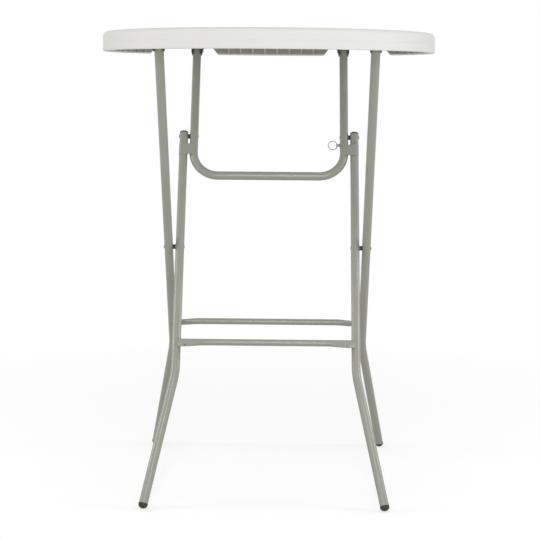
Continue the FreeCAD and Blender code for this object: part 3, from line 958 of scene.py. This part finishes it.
@dataclass
class HingeSet:
    """Brackets under the top, their pins and screws."""

    fitter: Fitter
    layout: Layout
    bracket_bevel: float = 0.5 * MM
    cheek_outside: float = 15.4 * MM
    pin_seat: float = 14.5 * MM
    pin_radius: float = 3.5 * MM
    head_radius: float = 5.2 * MM
    head_height: float = 2.0 * MM
    ear_length: float = 24.0 * MM
    ear_thickness: float = 3.5 * MM
    screw_spacing: float = 18.0 * MM
    screw_radius: float = 4.0 * MM
    screw_height: float = 1.9 * MM
    pivot_drop: float = 14.0 * MM
    pin_edge: float = 0.5 * MM
    head_edge: float = 1.2 * MM
    screw_shank: float = 2.1 * MM
    screw_edge: float = 1.3 * MM
    recess_arm: float = 2.3 * MM
    recess_half: float = 0.45 * MM
    recess_depth: float = 1.0 * MM

    def pin(self, skin: Skin, pivot: Vector, side: Side) -> None:
        """Adds a hinge pin with a domed head on the inner cheek and a peened outer end.

        Args:
            skin: the piece that it is added to.
            pivot: its middle.
            side: its hand.
        """
        inward = Vector((-side.value, 0, 0))
        radius, head, tall = self.pin_radius, self.head_radius, self.head_height
        whole = 2 * self.pin_seat
        corners = [(0, 0.0), (radius, 0.0), (radius, whole), (head, whole), (head, whole + tall),
                   (0, whole + tall)]
        profile = rounded(corners, [self.pin_edge, 0, 0, self.head_edge], EDGE_STEPS)
        skin.lathe(profile, pivot - inward * self.pin_seat, inward, TURNED_SIDES)

    def screw(self, skin: Skin, head: Vector) -> None:
        """Adds a pan-headed screw, pointing up into the top.

        Args:
            skin: the piece that it is added to.
            head: the middle of its head's seat.
        """
        radius, tall = self.screw_radius, self.screw_height
        shank, deep = self.screw_shank, self.ear_thickness
        corners = [(0, -tall), (radius, -tall), (radius, 0), (shank, 0), (shank, deep), (0, deep)]
        profile = rounded(corners, [self.screw_edge, 0, 0, 0], EDGE_STEPS)
        skin.lathe(profile, head, Vector((0, 0, 1)), TURNED_SIDES)

    def recess(self, cutter: Skin, head: Vector) -> None:
        """Adds the cutter of a screw's cross recess.

        Args:
            cutter: the piece that it is added to.
            head: the middle of the head's seat.
        """
        arm, half, deep = self.recess_arm, self.recess_half, self.recess_depth
        low = head.z - self.screw_height - deep
        quarter = [(half, half), (half, arm), (-half, arm)]
        cross = []
        for _ in range(4):
            cross += quarter
            quarter = [(-y, x) for x, y in quarter]
        cutter.prism([Vector((head.x + x, head.y + y, low)) for x, y in cross], Vector((0, 0, 2 * deep)))

    def build(self) -> None:
        """Builds pins and screws, and dresses the brackets."""
        ends = (("front", self.layout.outer_x, self.layout.front_pivot),
                ("rear", self.layout.loop_x, self.layout.rear_pivot))
        for end, x, pivot in ends:
            self.fitter.keep(f"hinge_brackets_{end}", Slot.BLACK, self.bracket_bevel)
            pins = Skin()
            screws = Skin()
            recesses = Skin()
            for side in Side:
                centre = Vector((side.value * x, pivot.y, pivot.z))
                self.pin(pins, centre, side)
                middle = side.value * (x - self.cheek_outside - self.ear_length / 2)
                for step in (-0.5, 0.5):
                    under = pivot.z + self.pivot_drop - self.ear_thickness
                    head = Vector((middle, pivot.y + step * self.screw_spacing, under))
                    self.screw(screws, head)
                    self.recess(recesses, head)
            self.fitter.fit(pins.object(f"pins_{end}"), Body.TOP, Slot.STEEL, f"hinge_pins_{end}")
            heads = screws.object(f"bracket_screws_{end}")
            carved(heads, recesses)
            self.fitter.fit(heads, Body.TOP, Slot.STEEL)


@dataclass(frozen=True)
class LegLine:
    """A bent leg: its distance from the middle, its bend's drop below the cross, its foot's splay."""

    x: float
    bend_drop: float
    splay: float


@dataclass(frozen=True)
class Bar:
    """A stretcher: its legs' distance from the middle, its drop, its side and half its flats' height."""

    leg_x: float
    drop: float
    face: Lean
    flat_high: float


@dataclass
class TubeWork:
    """What all tube frames share: legs, feet, stretchers, rivets, spacers and weld beads."""

    fitter: Fitter
    layout: Layout
    place: Place
    body: Body
    sides: int = 40
    tail: float = 7.8 * MM
    bend_radius: float = 220.0 * MM
    bend_steps: int = 16
    station_steps: tuple[int, int, int] = (6, 14, 4)
    cap_radius: float = 11.1 * MM
    cap_collar: float = 5.5 * MM
    cap_tip: Pair = (5.8 * MM, 11.0 * MM)
    dome_start: float = 3.0 * MM
    rivet_radius: float = 3.5 * MM
    rivet_head: float = 4.4 * MM
    head_height: float = 2.0 * MM
    tail_height: float = 0.8 * MM
    spacer_radius: float = 6.1 * MM
    spacer_waist: float = 5.4 * MM
    spacer_collar: float = 1.5 * MM
    gap: float = 0.3 * MM
    stretcher_radius: float = 7.9 * MM
    stretcher_clear: float = 0.6 * MM
    flat_deep: float = 2.75 * MM
    flat_start: float = 72.0 * MM
    flat_full: float = 12.0 * MM
    flat_short: float = 2.5 * MM
    bead: float = 1.4 * MM
    bead_flat: float = 0.7
    bead_steps: int = 24
    bead_ends: Pair = (0.04, 0.96)
    bead_blunt: float = 0.4
    ripple: float = 0.12
    ripples: int = 9
    weld_reach: float = 9.0 * MM
    weld_lift: float = 0.2 * MM
    lip: float = 0.25 * MM
    nip: float = 0.6 * MM
    squareness: float = 1.2
    plug: float = 12.0 * MM
    cap_edge: float = 0.5 * MM
    groove: Pair = (1.5 * MM, 0.3 * MM)
    dome_steps: int = 12
    head_edge: float = 0.2 * MM
    head_foot: float = 0.12
    head_steps: int = 7
    head_blunt: float = 0.7
    dimple: tuple[Pair, ...] = ((1.3 * MM, 0.94), (0.9 * MM, 0.65), (0.0, 0.62))
    spacer_edge: float = 0.4 * MM

    def add(self, made: bpy.types.Object, slot: Slot, *nodes: str) -> None:
        """Fits a piece to the frame's own body."""
        self.fitter.fit(made, self.body, slot, *nodes)

    def local(self, x: float, along: float) -> Vector:
        """A point in the plane of the tubes."""
        return self.place.at(x, 0.0, along)

    def slant(self, splay: float) -> float:
        """Angle between a splayed foot and the vertical."""
        return math.acos(math.cos(splay) * math.cos(self.layout.lean))

    def foot_end(self, line: LegLine) -> Pair:
        """Lower end of a leg's centre line, so that the cap on it stands on the floor.

        Args:
            line: the leg.

        Returns:
            Its place across and along the frame.
        """
        slant = self.slant(line.splay)
        rings = ((self.cap_radius, self.cap_collar), self.cap_tip)
        reach = max(length * math.cos(slant) + radius * math.sin(slant) for radius, length in rings)
        height = (reach - self.place.origin.z) / math.cos(self.layout.lean)
        return (line.x + (-line.bend_drop - height) * math.tan(line.splay), height)

    def leg(self, name: str, side: Side, line: LegLine, top: float) -> bpy.types.Object:
        """A hollow bent leg.

        Args:
            name: the piece's name.
            side: its hand.
            line: its shape.
            top: its upper end, along the frame.

        Returns:
            The leg.
        """
        corners = [(line.x, top), (line.x, -line.bend_drop), self.foot_end(line)]
        points = rounded(corners, [self.bend_radius], self.bend_steps)
        path = [self.local(side.value * x, along) for x, along in points]
        return self.tube(name, path)

    def tube(self, name: str, path: Sequence[Vector]) -> bpy.types.Object:
        """A hollow tube with rounded rims at its ends.

        Args:
            name: the piece's name.
            path: its centre line.

        Returns:
            The tube.
        """
        skin = Skin()
        lip = self.lip
        out, tube = self.place.out, self.layout.tube
        first = (path[1] - path[0]).normalized()
        last = (path[-1] - path[-2]).normalized()
        inset = [path[0] + first * lip, *path[1:-1], path[-1] - last * lip]

        def round_of(radius: float) -> list[Pair]:
            """A round section."""
            return oval(radius, radius, self.sides)

        outside = skin.sweep(inset, out, lambda _: round_of(tube), False)
        inside = skin.sweep(path, out, lambda _: round_of(tube - self.layout.wall), False)
        for number, ahead in ((0, first), (-1, last)):
            rim = skin.section(path[number], ahead, out, round_of(tube - lip))
            skin.bridge(outside[number], rim)
            skin.bridge(rim, inside[number])
        return skin.object(name)

    def foot(self, skin: Skin, side: Side, line: LegLine) -> None:
        """Adds a domed foot cap with a moulded ring.

        Args:
            skin: the piece that it is added to.
            side: its hand.
            line: the leg that it is on.
        """
        splay = line.splay
        x, along = self.foot_end(line)
        outward = self.place.across * side.value
        axis = (outward * math.sin(splay) - self.place.along * math.cos(splay)).normalized()
        slant = self.slant(splay)
        radius, tip = self.cap_radius, self.cap_tip
        reach = tip[1] * math.cos(slant) + tip[0] * math.sin(slant)
        deep = math.sqrt((reach - self.dome_start * math.cos(slant)) ** 2 - (radius * math.sin(slant)) ** 2)
        deep /= math.cos(slant)
        bore = self.layout.tube - self.layout.wall
        edge, plug = self.cap_edge, self.plug
        low, cut = self.groove
        profile = [(0, -plug), (bore, -plug), (bore, 0), (radius - edge, 0), (radius, edge),
                   (radius, low - cut), (radius - cut, low), (radius, low + cut)]
        steps = self.dome_steps
        for step in range(steps + 1):
            turn = math.pi / 2 * step / steps
            wide = radius * math.cos(turn) if step < steps else 0
            profile.append((wide, self.dome_start + deep * math.sin(turn)))
        skin.lathe(profile, self.local(side.value * x, along), axis, CAP_SIDES)

    def head_profile(self, start: float, towards: int, tall: float) -> list[Pair]:
        """A domed rivet head with a dimple.

        Args:
            start: the height of its seat.
            towards: 1 or -1, the way that it points.
            tall: its own height.

        Returns:
            Points of (radius, height), from its seat outwards.
        """
        head, low = self.rivet_head, self.head_foot
        shape = [(head - self.head_edge, 0.0), (head, low * tall)]
        for step in range(1, self.head_steps):
            turn = math.pi / 2 * step / self.head_steps
            wide = head * math.cos(turn) ** self.head_blunt
            shape.append((wide, tall * (low + (1 - low) * math.sin(turn))))
        shape += [(radius, share * tall) for radius, share in self.dimple]
        return [(radius, start + towards * height) for radius, height in shape]

    def rivet(self, skin: Skin, side: Side, along: float, reach: Pair, heads: Pair) -> None:
        """Adds a rivet across the frame.

        Args:
            skin: the piece that it is added to.
            side: its hand.
            along: its height along the frame.
            reach: its inner and outer end, as distances from the middle.
            heads: the height of the head at each end, or 0 for none.
        """
        start, end = reach
        axis = self.place.across * side.value
        inner = self.head_profile(start, -1, heads[0])[::-1] if heads[0] else [(0, start)]
        outer = self.head_profile(end, 1, heads[1]) if heads[1] else [(0, end)]
        shank = [(self.rivet_radius, start), (self.rivet_radius, end)]
        skin.lathe(inner + shank + outer, self.place.at(0, 0, along), axis, RIVET_SIDES)

    def spacer(self, skin: Skin, side: Side, along: float, reach: Pair) -> None:
        """Adds a spool-shaped spacer with rounded collars and a slight waist.

        Args:
            skin: the piece that it is added to.
            side: its hand.
            along: its height along the frame.
            reach: its two ends, as distances from the middle.
        """
        start, end = reach
        wide, waist = self.spacer_radius, self.spacer_waist
        bore, soft = self.rivet_radius, self.spacer_edge
        whole, collar = abs(end - start), self.spacer_collar
        corners = [(bore, 0), (wide, 0), (wide, collar), (waist, collar), (waist, whole - collar),
                   (wide, whole - collar), (wide, whole), (bore, whole)]
        shape = rounded(corners, [soft, soft, 0, 0, soft, soft], 3)
        axis = self.place.across * side.value * math.copysign(1, end - start)
        skin.lathe(shape + shape[:1], self.place.at(side.value * start, 0, along), axis, RIVET_SIDES)

    def stretcher(self, name: str, bar: Bar) -> bpy.types.Object:
        """A cross tube with smoothly flattened ends.

        Args:
            name: the piece's name.
            bar: its place.

        Returns:
            The stretcher.
        """
        straight, full = bar.leg_x - self.flat_start, bar.leg_x - self.flat_full
        end = bar.leg_x - self.flat_short
        round_off = self.layout.tube + self.stretcher_clear + self.stretcher_radius
        flat_off = self.layout.tube + self.flat_deep
        plain, eased, flat = self.station_steps
        stations = [straight * step / plain for step in range(plain + 1)]
        stations += [straight + (full - straight) * step / eased for step in range(1, eased + 1)]
        stations += [full + (end - full) * step / flat for step in range(1, flat)]
        stations += [end - self.nip, end]
        line = [-x for x in stations[:0:-1]] + stations
        skin = Skin()

        def squeeze(x: float) -> float:
            """How far the tube is flattened at a place: 0 round, 1 flat."""
            share = min(max((abs(x) - straight) / (full - straight), 0.0), 1.0)
            return share * share * (3 - 2 * share)

        def shape(index: int) -> list[Pair]:
            """The section at a station.

            Args:
                index: the station's number.

            Returns:
                Its points.
            """
            share = squeeze(line[index])
            high = self.stretcher_radius + (bar.flat_high - self.stretcher_radius) * share
            deep = self.stretcher_radius + (self.flat_deep - self.stretcher_radius) * share
            nip = self.nip if index in (0, len(line) - 1) else 0.0
            return oval(high - nip, deep - nip, self.sides, 2.0 + self.squareness * share)

        path = []
        for x in line:
            share = squeeze(x)
            off = round_off + (flat_off - round_off) * share
            path.append(self.place.at(x, bar.face.value * off, -bar.drop))
        skin.sweep(path, self.place.out, shape)
        return skin.object(name)

    def weld(self, skin: Skin, start: Vector, end: Vector, normal: Vector) -> None:
        """Adds a rippled weld bead.

        Args:
            skin: the piece that it is added to.
            start: its start.
            end: its end.
            normal: the way that it bulges.
        """
        steps = self.bead_steps
        path = [start.lerp(end, step / steps) for step in range(steps + 1)]

        def shape(index: int) -> list[Pair]:
            """The bead's section, rippled and drawn in at its ends.

            Args:
                index: the number of the place along the bead.

            Returns:
                Its points.
            """
            share = index / steps
            first, last = self.bead_ends
            ends = math.sin(math.pi * min(max(share, first), last)) ** self.bead_blunt
            ripple = 1.0 + self.ripple * math.sin(share * self.ripples * math.pi)
            return oval(self.bead * ends * ripple, self.bead * self.bead_flat * ends * ripple, WIRE_SIDES)

        skin.sweep(path, normal, shape)

    def lap_welds(self, name: str, bar: Bar) -> bpy.types.Object:
        """Weld beads above and below both flattened ends of a stretcher.

        Args:
            name: the piece's name.
            bar: the stretcher's place.

        Returns:
            The beads.
        """
        skin = Skin()
        off = bar.face.value * (self.layout.tube + self.weld_lift)
        for side in Side:
            for above in (-1, 1):
                high = -bar.drop + above * (bar.flat_high - self.nip)
                start = self.place.at(side.value * (bar.leg_x - self.weld_reach), off, high)
                end = self.place.at(side.value * (bar.leg_x - self.flat_short), off, high)
                self.weld(skin, start, end, self.place.out)
        return skin.object(name)


@dataclass
class OuterFrame(TubeWork):
    """The frame hinged under the front of the top, with its feet at the rear."""

    bend_drop: float = 302.0 * MM
    splay: float = math.radians(10.2)
    stretcher_drop: float = 243.0 * MM
    flat_high: float = 8.3 * MM

    def build(self) -> None:
        """Builds legs, feet, stretcher, spacers and cross rivets."""
        x, tube = self.layout.outer_x, self.layout.tube
        inner_side = self.layout.inner_x + tube
        feet, spacers, rivets = Skin(), Skin(), Skin()
        top = self.layout.strut + self.tail
        line = LegLine(x, self.bend_drop, self.splay)
        for side in Side:
            hand = side.name.lower()
            self.add(self.leg(f"leg_outer_{hand}", side, line, top), Slot.PAINT, f"outer_leg_{hand}")
            self.foot(feet, side, line)
            self.spacer(spacers, side, 0.0, (x - tube, inner_side + self.gap))
            seats = (inner_side - 2 * tube - self.gap, x + tube)
            self.rivet(rivets, side, 0.0, seats, (self.tail_height, self.head_height))
        self.add(feet.object("feet_outer"), Slot.BLACK, "outer_feet")
        self.add(spacers.object("spacers_cross"), Slot.BLACK, "cross_spacers")
        self.add(rivets.object("rivets_cross"), Slot.STEEL, "cross_rivets")
        bar = Bar(x, self.stretcher_drop, Lean.REAR, self.flat_high)
        self.add(self.stretcher("stretcher_rear", bar), Slot.PAINT, "rear_stretcher")
        self.add(self.lap_welds("welds_rear", bar), Slot.PAINT)


@dataclass
class InnerFrame(TubeWork):
    """The frame with its feet at the front, joined to the brace near its upper end."""

    bend_drop: float = 320.0 * MM
    splay: float = math.radians(11.4)
    stretcher_drop: float = 249.8 * MM
    flat_high: float = 9.7 * MM
    leg_tail: float = 8.8 * MM
    cap_height: float = 4.2 * MM
    cap_bevel: float = 2.6 * MM
    hole_drop: float = 18.5 * MM
    hole_radius: float = 1.5 * MM
    weep_from_axis: float = 22.0 * MM
    weep_drop: float = 6.3 * MM
    weep_radius: float = 1.6 * MM
    weep_over: float = 0.1 * MM
    weep_shade_depth: float = 0.8 * MM
    cap_plug: float = 4.0 * MM
    cap_foot: float = 0.3 * MM

    def end_cap(self, skin: Skin, side: Side) -> None:
        """Adds the rounded cap in a leg's upper end.

        Args:
            skin: the piece that it is added to.
            side: its hand.
        """
        tube, tall, plug = self.layout.tube, self.cap_height, self.cap_plug
        bore = tube - self.layout.wall
        corners = [(0, -plug), (bore, -plug), (bore, 0), (tube, 0), (tube, tall), (0, tall)]
        profile = rounded(corners, [0, 0, self.cap_foot, self.cap_bevel], EDGE_STEPS)
        top = self.local(side.value * self.layout.inner_x, self.layout.brace_pivot + self.leg_tail)
        skin.lathe(profile, top, self.place.along, CAP_SIDES)

    def weep_discs(self, wide: float, deep: float) -> Skin:
        """Discs at the weep holes in the flattened ends of the stretcher.

        Args:
            wide: their radius.
            deep: how far they reach forwards from the middle of the flat.

        Returns:
            The discs, as cutters of the holes or as black discs of painted shade at the holes' bottoms.
        """
        discs = Skin()
        for side in Side:
            off = self.layout.tube + self.flat_deep
            across = side.value * (self.layout.inner_x - self.weep_from_axis)
            start = self.place.at(across, -off, -self.stretcher_drop - self.weep_drop)
            discs.lathe(disc(wide, deep), start, -self.place.out, HOLE_SIDES)
        return discs

    def build(self) -> None:
        """Builds legs, feet, caps, stretcher and the outer halves of the brace rivets."""
        x, tube, pivot = self.layout.inner_x, self.layout.tube, self.layout.brace_pivot
        feet, caps, rivets = Skin(), Skin(), Skin()
        line = LegLine(x, self.bend_drop, self.splay)
        for side in Side:
            hand = side.name.lower()
            leg = self.leg(f"leg_inner_{hand}", side, line, pivot + self.leg_tail)
            if side is Side.RIGHT:
                drill = Skin()
                start = self.local(x, pivot - self.hole_drop)
                drill.lathe(disc(self.hole_radius, 2 * tube), start, -self.place.out, HOLE_SIDES)
                carved(leg, drill)
            self.add(leg, Slot.PAINT, f"inner_leg_{hand}")
            self.foot(feet, side, line)
            self.end_cap(caps, side)
            self.rivet(rivets, side, pivot, (x - tube, x + tube), (0, self.head_height))
        self.add(feet.object("feet_inner"), Slot.BLACK, "inner_feet")
        self.add(caps.object("caps_inner"), Slot.BLACK, "leg_end_caps")
        self.add(rivets.object("rivets_brace_outer"), Slot.STEEL, "brace_rivets_outer")
        bar = Bar(x, self.stretcher_drop, Lean.FRONT, self.flat_high)
        made = self.stretcher("stretcher_front", bar)
        carved(made, self.weep_discs(self.weep_radius, 2 * self.stretcher_radius))
        self.add(made, Slot.PAINT, "front_stretcher")
        # painted shade: black discs at the bottoms of the blind weep holes stand in for the shade inside
        # the tube
        dark = self.weep_discs(self.weep_radius + self.weep_over, self.weep_shade_depth)
        self.add(dark.object("weep_hole_insides"), Slot.BLACK)
        self.add(self.lap_welds("welds_front", bar), Slot.PAINT)


@dataclass
class Brace(TubeWork):
    """The U-shaped brace with its saddles, spacers, rivets and the bush of the lock pin."""

    bar_drop: float = 107.0 * MM
    loop_bend: float = 63.0 * MM
    loop_steps: int = 24
    arc_steps: int = 12
    nugget_steps: int = 5
    saddle_drop: float = 24.5 * MM
    saddle_height: float = 29.0 * MM
    saddle_sheet: float = 1.5 * MM
    weld_turn: float = math.radians(22)
    hook_turn: float = math.radians(60)
    lock_drop: float = 22.0 * MM
    bush_radius: float = 4.6 * MM
    bush_tip: float = 3.5 * MM
    bush_length: float = 3.2 * MM
    bush_bore: float = 2.1 * MM
    bush_collar: float = 1.0 * MM
    bush_edge: float = 0.4 * MM
    saddle_bevel: float = 0.5 * MM
    nugget_places: Pair = (0.25, 0.85)
    nugget_lift: float = 0.2 * MM
    nugget_radius: float = 2.0 * MM
    nugget_height: float = 1.5 * MM
    nugget_buried: float = 0.6 * MM
    nugget_round: float = 1.4 * MM

    def saddle(self, skin: Skin, side: Side) -> None:
        """Adds a sheet saddle, welded round the brace and hooked round the front of the leg.

        Args:
            skin: the piece that it is added to.
            side: its hand.
        """
        tube, sheet = self.layout.tube, self.saddle_sheet
        hook_in = tube + self.gap
        low = self.layout.brace_pivot - self.saddle_drop - self.saddle_height

        def arc(x: float, radius: float, start: float, end: float) -> list[Pair]:
            """An arc round a tube.

            Args:
                x: the tube's distance from the middle.
                radius: the arc's radius.
                start: its first turn from the tube's front outwards.
                end: its last turn.

            Returns:
                Its points.
            """
            steps = self.arc_steps
            turns = [start + (end - start) * step / steps for step in range(steps + 1)]
            return [(x + radius * math.sin(turn), -radius * math.cos(turn)) for turn in turns]

        loop, leg = self.layout.loop_x, self.layout.inner_x
        line = arc(loop, tube + sheet, -self.weld_turn, 0) + arc(leg, hook_in + sheet, 0, self.hook_turn)
        line += arc(leg, hook_in, self.hook_turn, 0) + arc(loop, tube, 0, -self.weld_turn)
        outline = [self.place.at(side.value * x, out, low) for x, out in line]
        skin.prism(outline, self.place.along * self.saddle_height)

    def spot_welds(self, skin: Skin, side: Side) -> None:
        """Adds the two weld nuggets at the saddle's inner edge.

        Args:
            skin: the piece that they are added to.
            side: their hand.
        """
        tube = self.layout.tube
        turn = -self.weld_turn
        for share in self.nugget_places:
            along = self.layout.brace_pivot - self.saddle_drop - self.saddle_height * share
            radius = tube + self.nugget_lift
            across = self.layout.loop_x + radius * math.sin(turn)
            start = self.place.at(side.value * across, -radius * math.cos(turn), along)
            outward = self.place.across * side.value * math.sin(turn) - self.place.out * math.cos(turn)
            wide, tall, deep = self.nugget_radius, self.nugget_height, self.nugget_buried
            corners = [(0, -deep), (wide, -deep), (wide, tall), (0, tall)]
            dome = rounded(corners, [0, self.nugget_round], self.nugget_steps)
            skin.lathe(dome, start, outward.normalized(), HOLE_SIDES)

    def build(self) -> None:
        """Builds the loop and everything fixed to it."""
        x, tube, pivot = self.layout.loop_x, self.layout.tube, self.layout.brace_pivot
        top, low = self.layout.strut + self.tail, pivot - self.bar_drop
        corners = [(x, top), (x, low), (-x, low), (-x, top)]
        path = [self.local(a, b) for a, b in rounded(corners, [self.loop_bend] * 2, self.loop_steps)]
        self.add(self.tube("brace_tube", path), Slot.PAINT, "brace_loop")
        saddles, nuggets, spacers, rivets = Skin(), Skin(), Skin(), Skin()
        for side in Side:
            self.saddle(saddles, side)
            self.spot_welds(nuggets, side)
            leg_side = self.layout.inner_x - tube - self.gap
            self.spacer(spacers, side, pivot, (x + tube, leg_side))
            self.rivet(rivets, side, pivot, (x - tube, leg_side), (self.tail_height, 0))
        plates = saddles.object("saddles")
        softened(plates, self.saddle_bevel)
        self.add(plates, Slot.PAINT, "saddle_plates")
        self.add(nuggets.object("saddle_welds"), Slot.PAINT)
        self.add(spacers.object("spacers_brace"), Slot.BLACK, "brace_spacers")
        self.add(rivets.object("rivets_brace_inner"), Slot.STEEL, "brace_rivets_inner")
        bush = Skin()
        wide, tip, length, bore = self.bush_radius, self.bush_tip, self.bush_length, self.bush_bore
        edge = self.bush_edge
        shape = [(bore, 0), (wide, 0), (wide, self.bush_collar), (tip, length - edge), (tip - edge, length),
                 (bore, length), (bore, 0)]
        seat = self.place.at(x - tube, 0, pivot - self.lock_drop)
        bush.lathe(shape, seat, -self.place.across, RIVET_SIDES)
        self.add(bush.object("pin_bush"), Slot.STEEL, "lock_bush")


@dataclass
class LockPull:
    """The lock pin and its split ring."""

    fitter: Fitter
    layout: Layout
    pin_bevel: float = 0.25 * MM
    coil_turns: float = 1.93
    coil_start: float = math.radians(100)
    wire: float = 0.6 * MM
    wire_flat: float = 1.6
    lift: float = 0.8 * MM
    coil_steps: int = 150

    def build(self) -> None:
        """Dresses the pin and builds the ring as a two-turn coil."""
        self.fitter.keep("lock_pin", Slot.STEEL, self.pin_bevel)
        low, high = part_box("pull_ring")
        place = self.layout.frame(Lean.REAR)
        centre = (low + high) / 2
        radius = (high.x - low.x) / 2 - self.wire
        path = []
        for step in range(self.coil_steps + 1):
            share = step / self.coil_steps
            turn = 2 * math.pi * self.coil_turns * share + self.coil_start
            spoke = place.across * math.cos(turn) + place.along * math.sin(turn)
            path.append(centre + spoke * radius + place.out * self.lift * (share - 0.5))
        skin = Skin()
        skin.sweep(path, place.out, lambda _: oval(self.wire * self.wire_flat, self.wire, WIRE_SIDES))
        self.fitter.fit(skin.object("split_ring"), Body.RING, Slot.STEEL, "pull_ring")


@dataclass(frozen=True)
class SoftBox:
    """A soft rectangular lamp, aimed at a point on the table's axis."""

    name: str
    place: tuple[float, float, float]
    size: Pair
    power: float
    aim: float = 0.6

    def build(self) -> None:
        """Adds the lamp to the scene."""
        light = bpy.data.lights.new(self.name, "AREA")
        light.shape = "RECTANGLE"
        light.size, light.size_y = self.size
        light.energy = self.power
        lamp = bpy.data.objects.new(self.name, light)
        bpy.context.scene.collection.objects.link(lamp)
        lamp.location = self.place
        towards = Vector((0, 0, self.aim)) - Vector(self.place)
        lamp.rotation_euler = towards.to_track_quat("-Z", "Y").to_euler()


@dataclass
class Studio:
    """Floor, soft light and the camera at the photograph's angle."""

    lamps: tuple[SoftBox, ...] = (
        SoftBox("side_left", (-2.2, -0.2, 1.15), (0.40, 0.6), 8.5, 0.4),
        SoftBox("side_right", (2.2, -0.2, 1.15), (0.40, 0.6), 8.5, 0.4),
        SoftBox("front_high", (0.0, -2.87, 2.15), (0.40, 0.5), 12.0, 0.3),
        SoftBox("front", (0.6, -4.2, 0.95), (2.4, 1.3), 46.0, 1.0),
    )
    image_width: float = 540.0
    focal_pixels: float = 1374.5
    sensor: float = 36.0
    eye: tuple[float, float, float] = (0.0497, -3.3781, 0.9849)
    pan: float = -0.01276
    pitch: float = 0.1364
    roll: float = 0.0076
    world_light: float = 0.53
    floor_tone: float = 0.58
    floor_glow: float = 0.55
    floor_fade: Pair = (0.7, 1.8)
    floor_size: float = 60.0
    floor_roughness: float = 0.9
    floor_specular: float = 0.1
    view_reach: float = 200.0

    def world(self) -> None:
        """A plain white light from all round, dimmer than the white that is seen."""
        world = bpy.data.worlds.new("studio_world")
        bpy.context.scene.world = world
        world.use_nodes = True
        nodes = Nodes(world.node_tree)
        white = (1, 1, 1, 1)
        lit = nodes.add("ShaderNodeBackground", {}, {"Color": white, "Strength": self.world_light})
        seen = nodes.add("ShaderNodeBackground", {}, {"Color": white, "Strength": 1.0})
        nodes.show(nodes.seen_apart(lit, seen), "World Output")

    def floor(self) -> None:
        """A pale floor, seen white, that keeps a soft shadow and fades into the background."""
        skin = Skin()
        half = self.floor_size / 2
        corners = ((-half, -half), (half, -half), (half, half), (-half, half))
        skin.face(skin.ring(Vector((x, y, 0)) for x, y in corners))
        floor = skin.object("floor")
        graph = Graph("pale_floor")
        grey = rgba((1.0, 1.0, 1.0), self.floor_tone)
        floor.data.materials.append(graph.dress(
            Base_Color=grey, Roughness=self.floor_roughness, Specular_IOR_Level=self.floor_specular))
        lit = Value(graph, graph.shader.outputs[0])
        glow = graph.add("ShaderNodeEmission", {}, {"Strength": self.floor_glow})
        near = graph.add("ShaderNodeAddShader", {}, {0: lit, 1: glow})
        white = graph.add("ShaderNodeEmission", {}, {"Strength": 1.0})
        distance = graph.add("ShaderNodeVectorMath", {"operation": "LENGTH"}, {0: graph.place}, "Value")
        far = distance.clamped(*self.floor_fade)
        seen = graph.add("ShaderNodeMixShader", {}, {0: far, 1: near, 2: white})
        graph.show(graph.seen_apart(lit, seen), "Material Output")

    def camera(self) -> None:
        """The camera, from the photograph's fitted view."""
        data = bpy.data.cameras.new("photo_view")
        data.sensor_width = self.sensor
        data.lens = self.focal_pixels / self.image_width * self.sensor
        data.clip_end = self.view_reach
        camera = bpy.data.objects.new("photo_view", data)
        bpy.context.scene.collection.objects.link(camera)
        turn = Matrix.Rotation(-self.pan, 4, "Z") @ Matrix.Rotation(math.pi / 2 - self.pitch, 4, "X")
        camera.matrix_world = Matrix.Translation(self.eye) @ turn @ Matrix.Rotation(self.roll, 4, "Z")
        bpy.context.scene.camera = camera

    def build(self) -> None:
        """Sets up the whole studio."""
        bpy.context.scene.view_settings.view_transform = "Standard"
        self.world()
        self.floor()
        for lamp in self.lamps:
            lamp.build()
        self.camera()


def main() -> None:
    """Loads the frame, builds each sub-assembly and sets up the studio."""
    logging.basicConfig(level=logging.INFO, format="%(name)s: %(message)s")
    for made in list(bpy.data.objects):
        bpy.data.objects.remove(made)
    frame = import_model()
    layout = Layout.of(frame)
    fitter = Fitter({slot: finish.material() for slot, finish in FINISHES.items()}, frame)
    MouldedTop(fitter, layout).build()
    HingeSet(fitter, layout).build()
    OuterFrame(fitter, layout, layout.frame(Lean.FRONT), Body.OUTER).build()
    InnerFrame(fitter, layout, layout.frame(Lean.REAR), Body.INNER).build()
    Brace(fitter, layout, layout.frame(Lean.REAR), Body.BRACE).build()
    LockPull(fitter, layout).build()
    Studio().build()


if __name__ == "__main__":
    main()
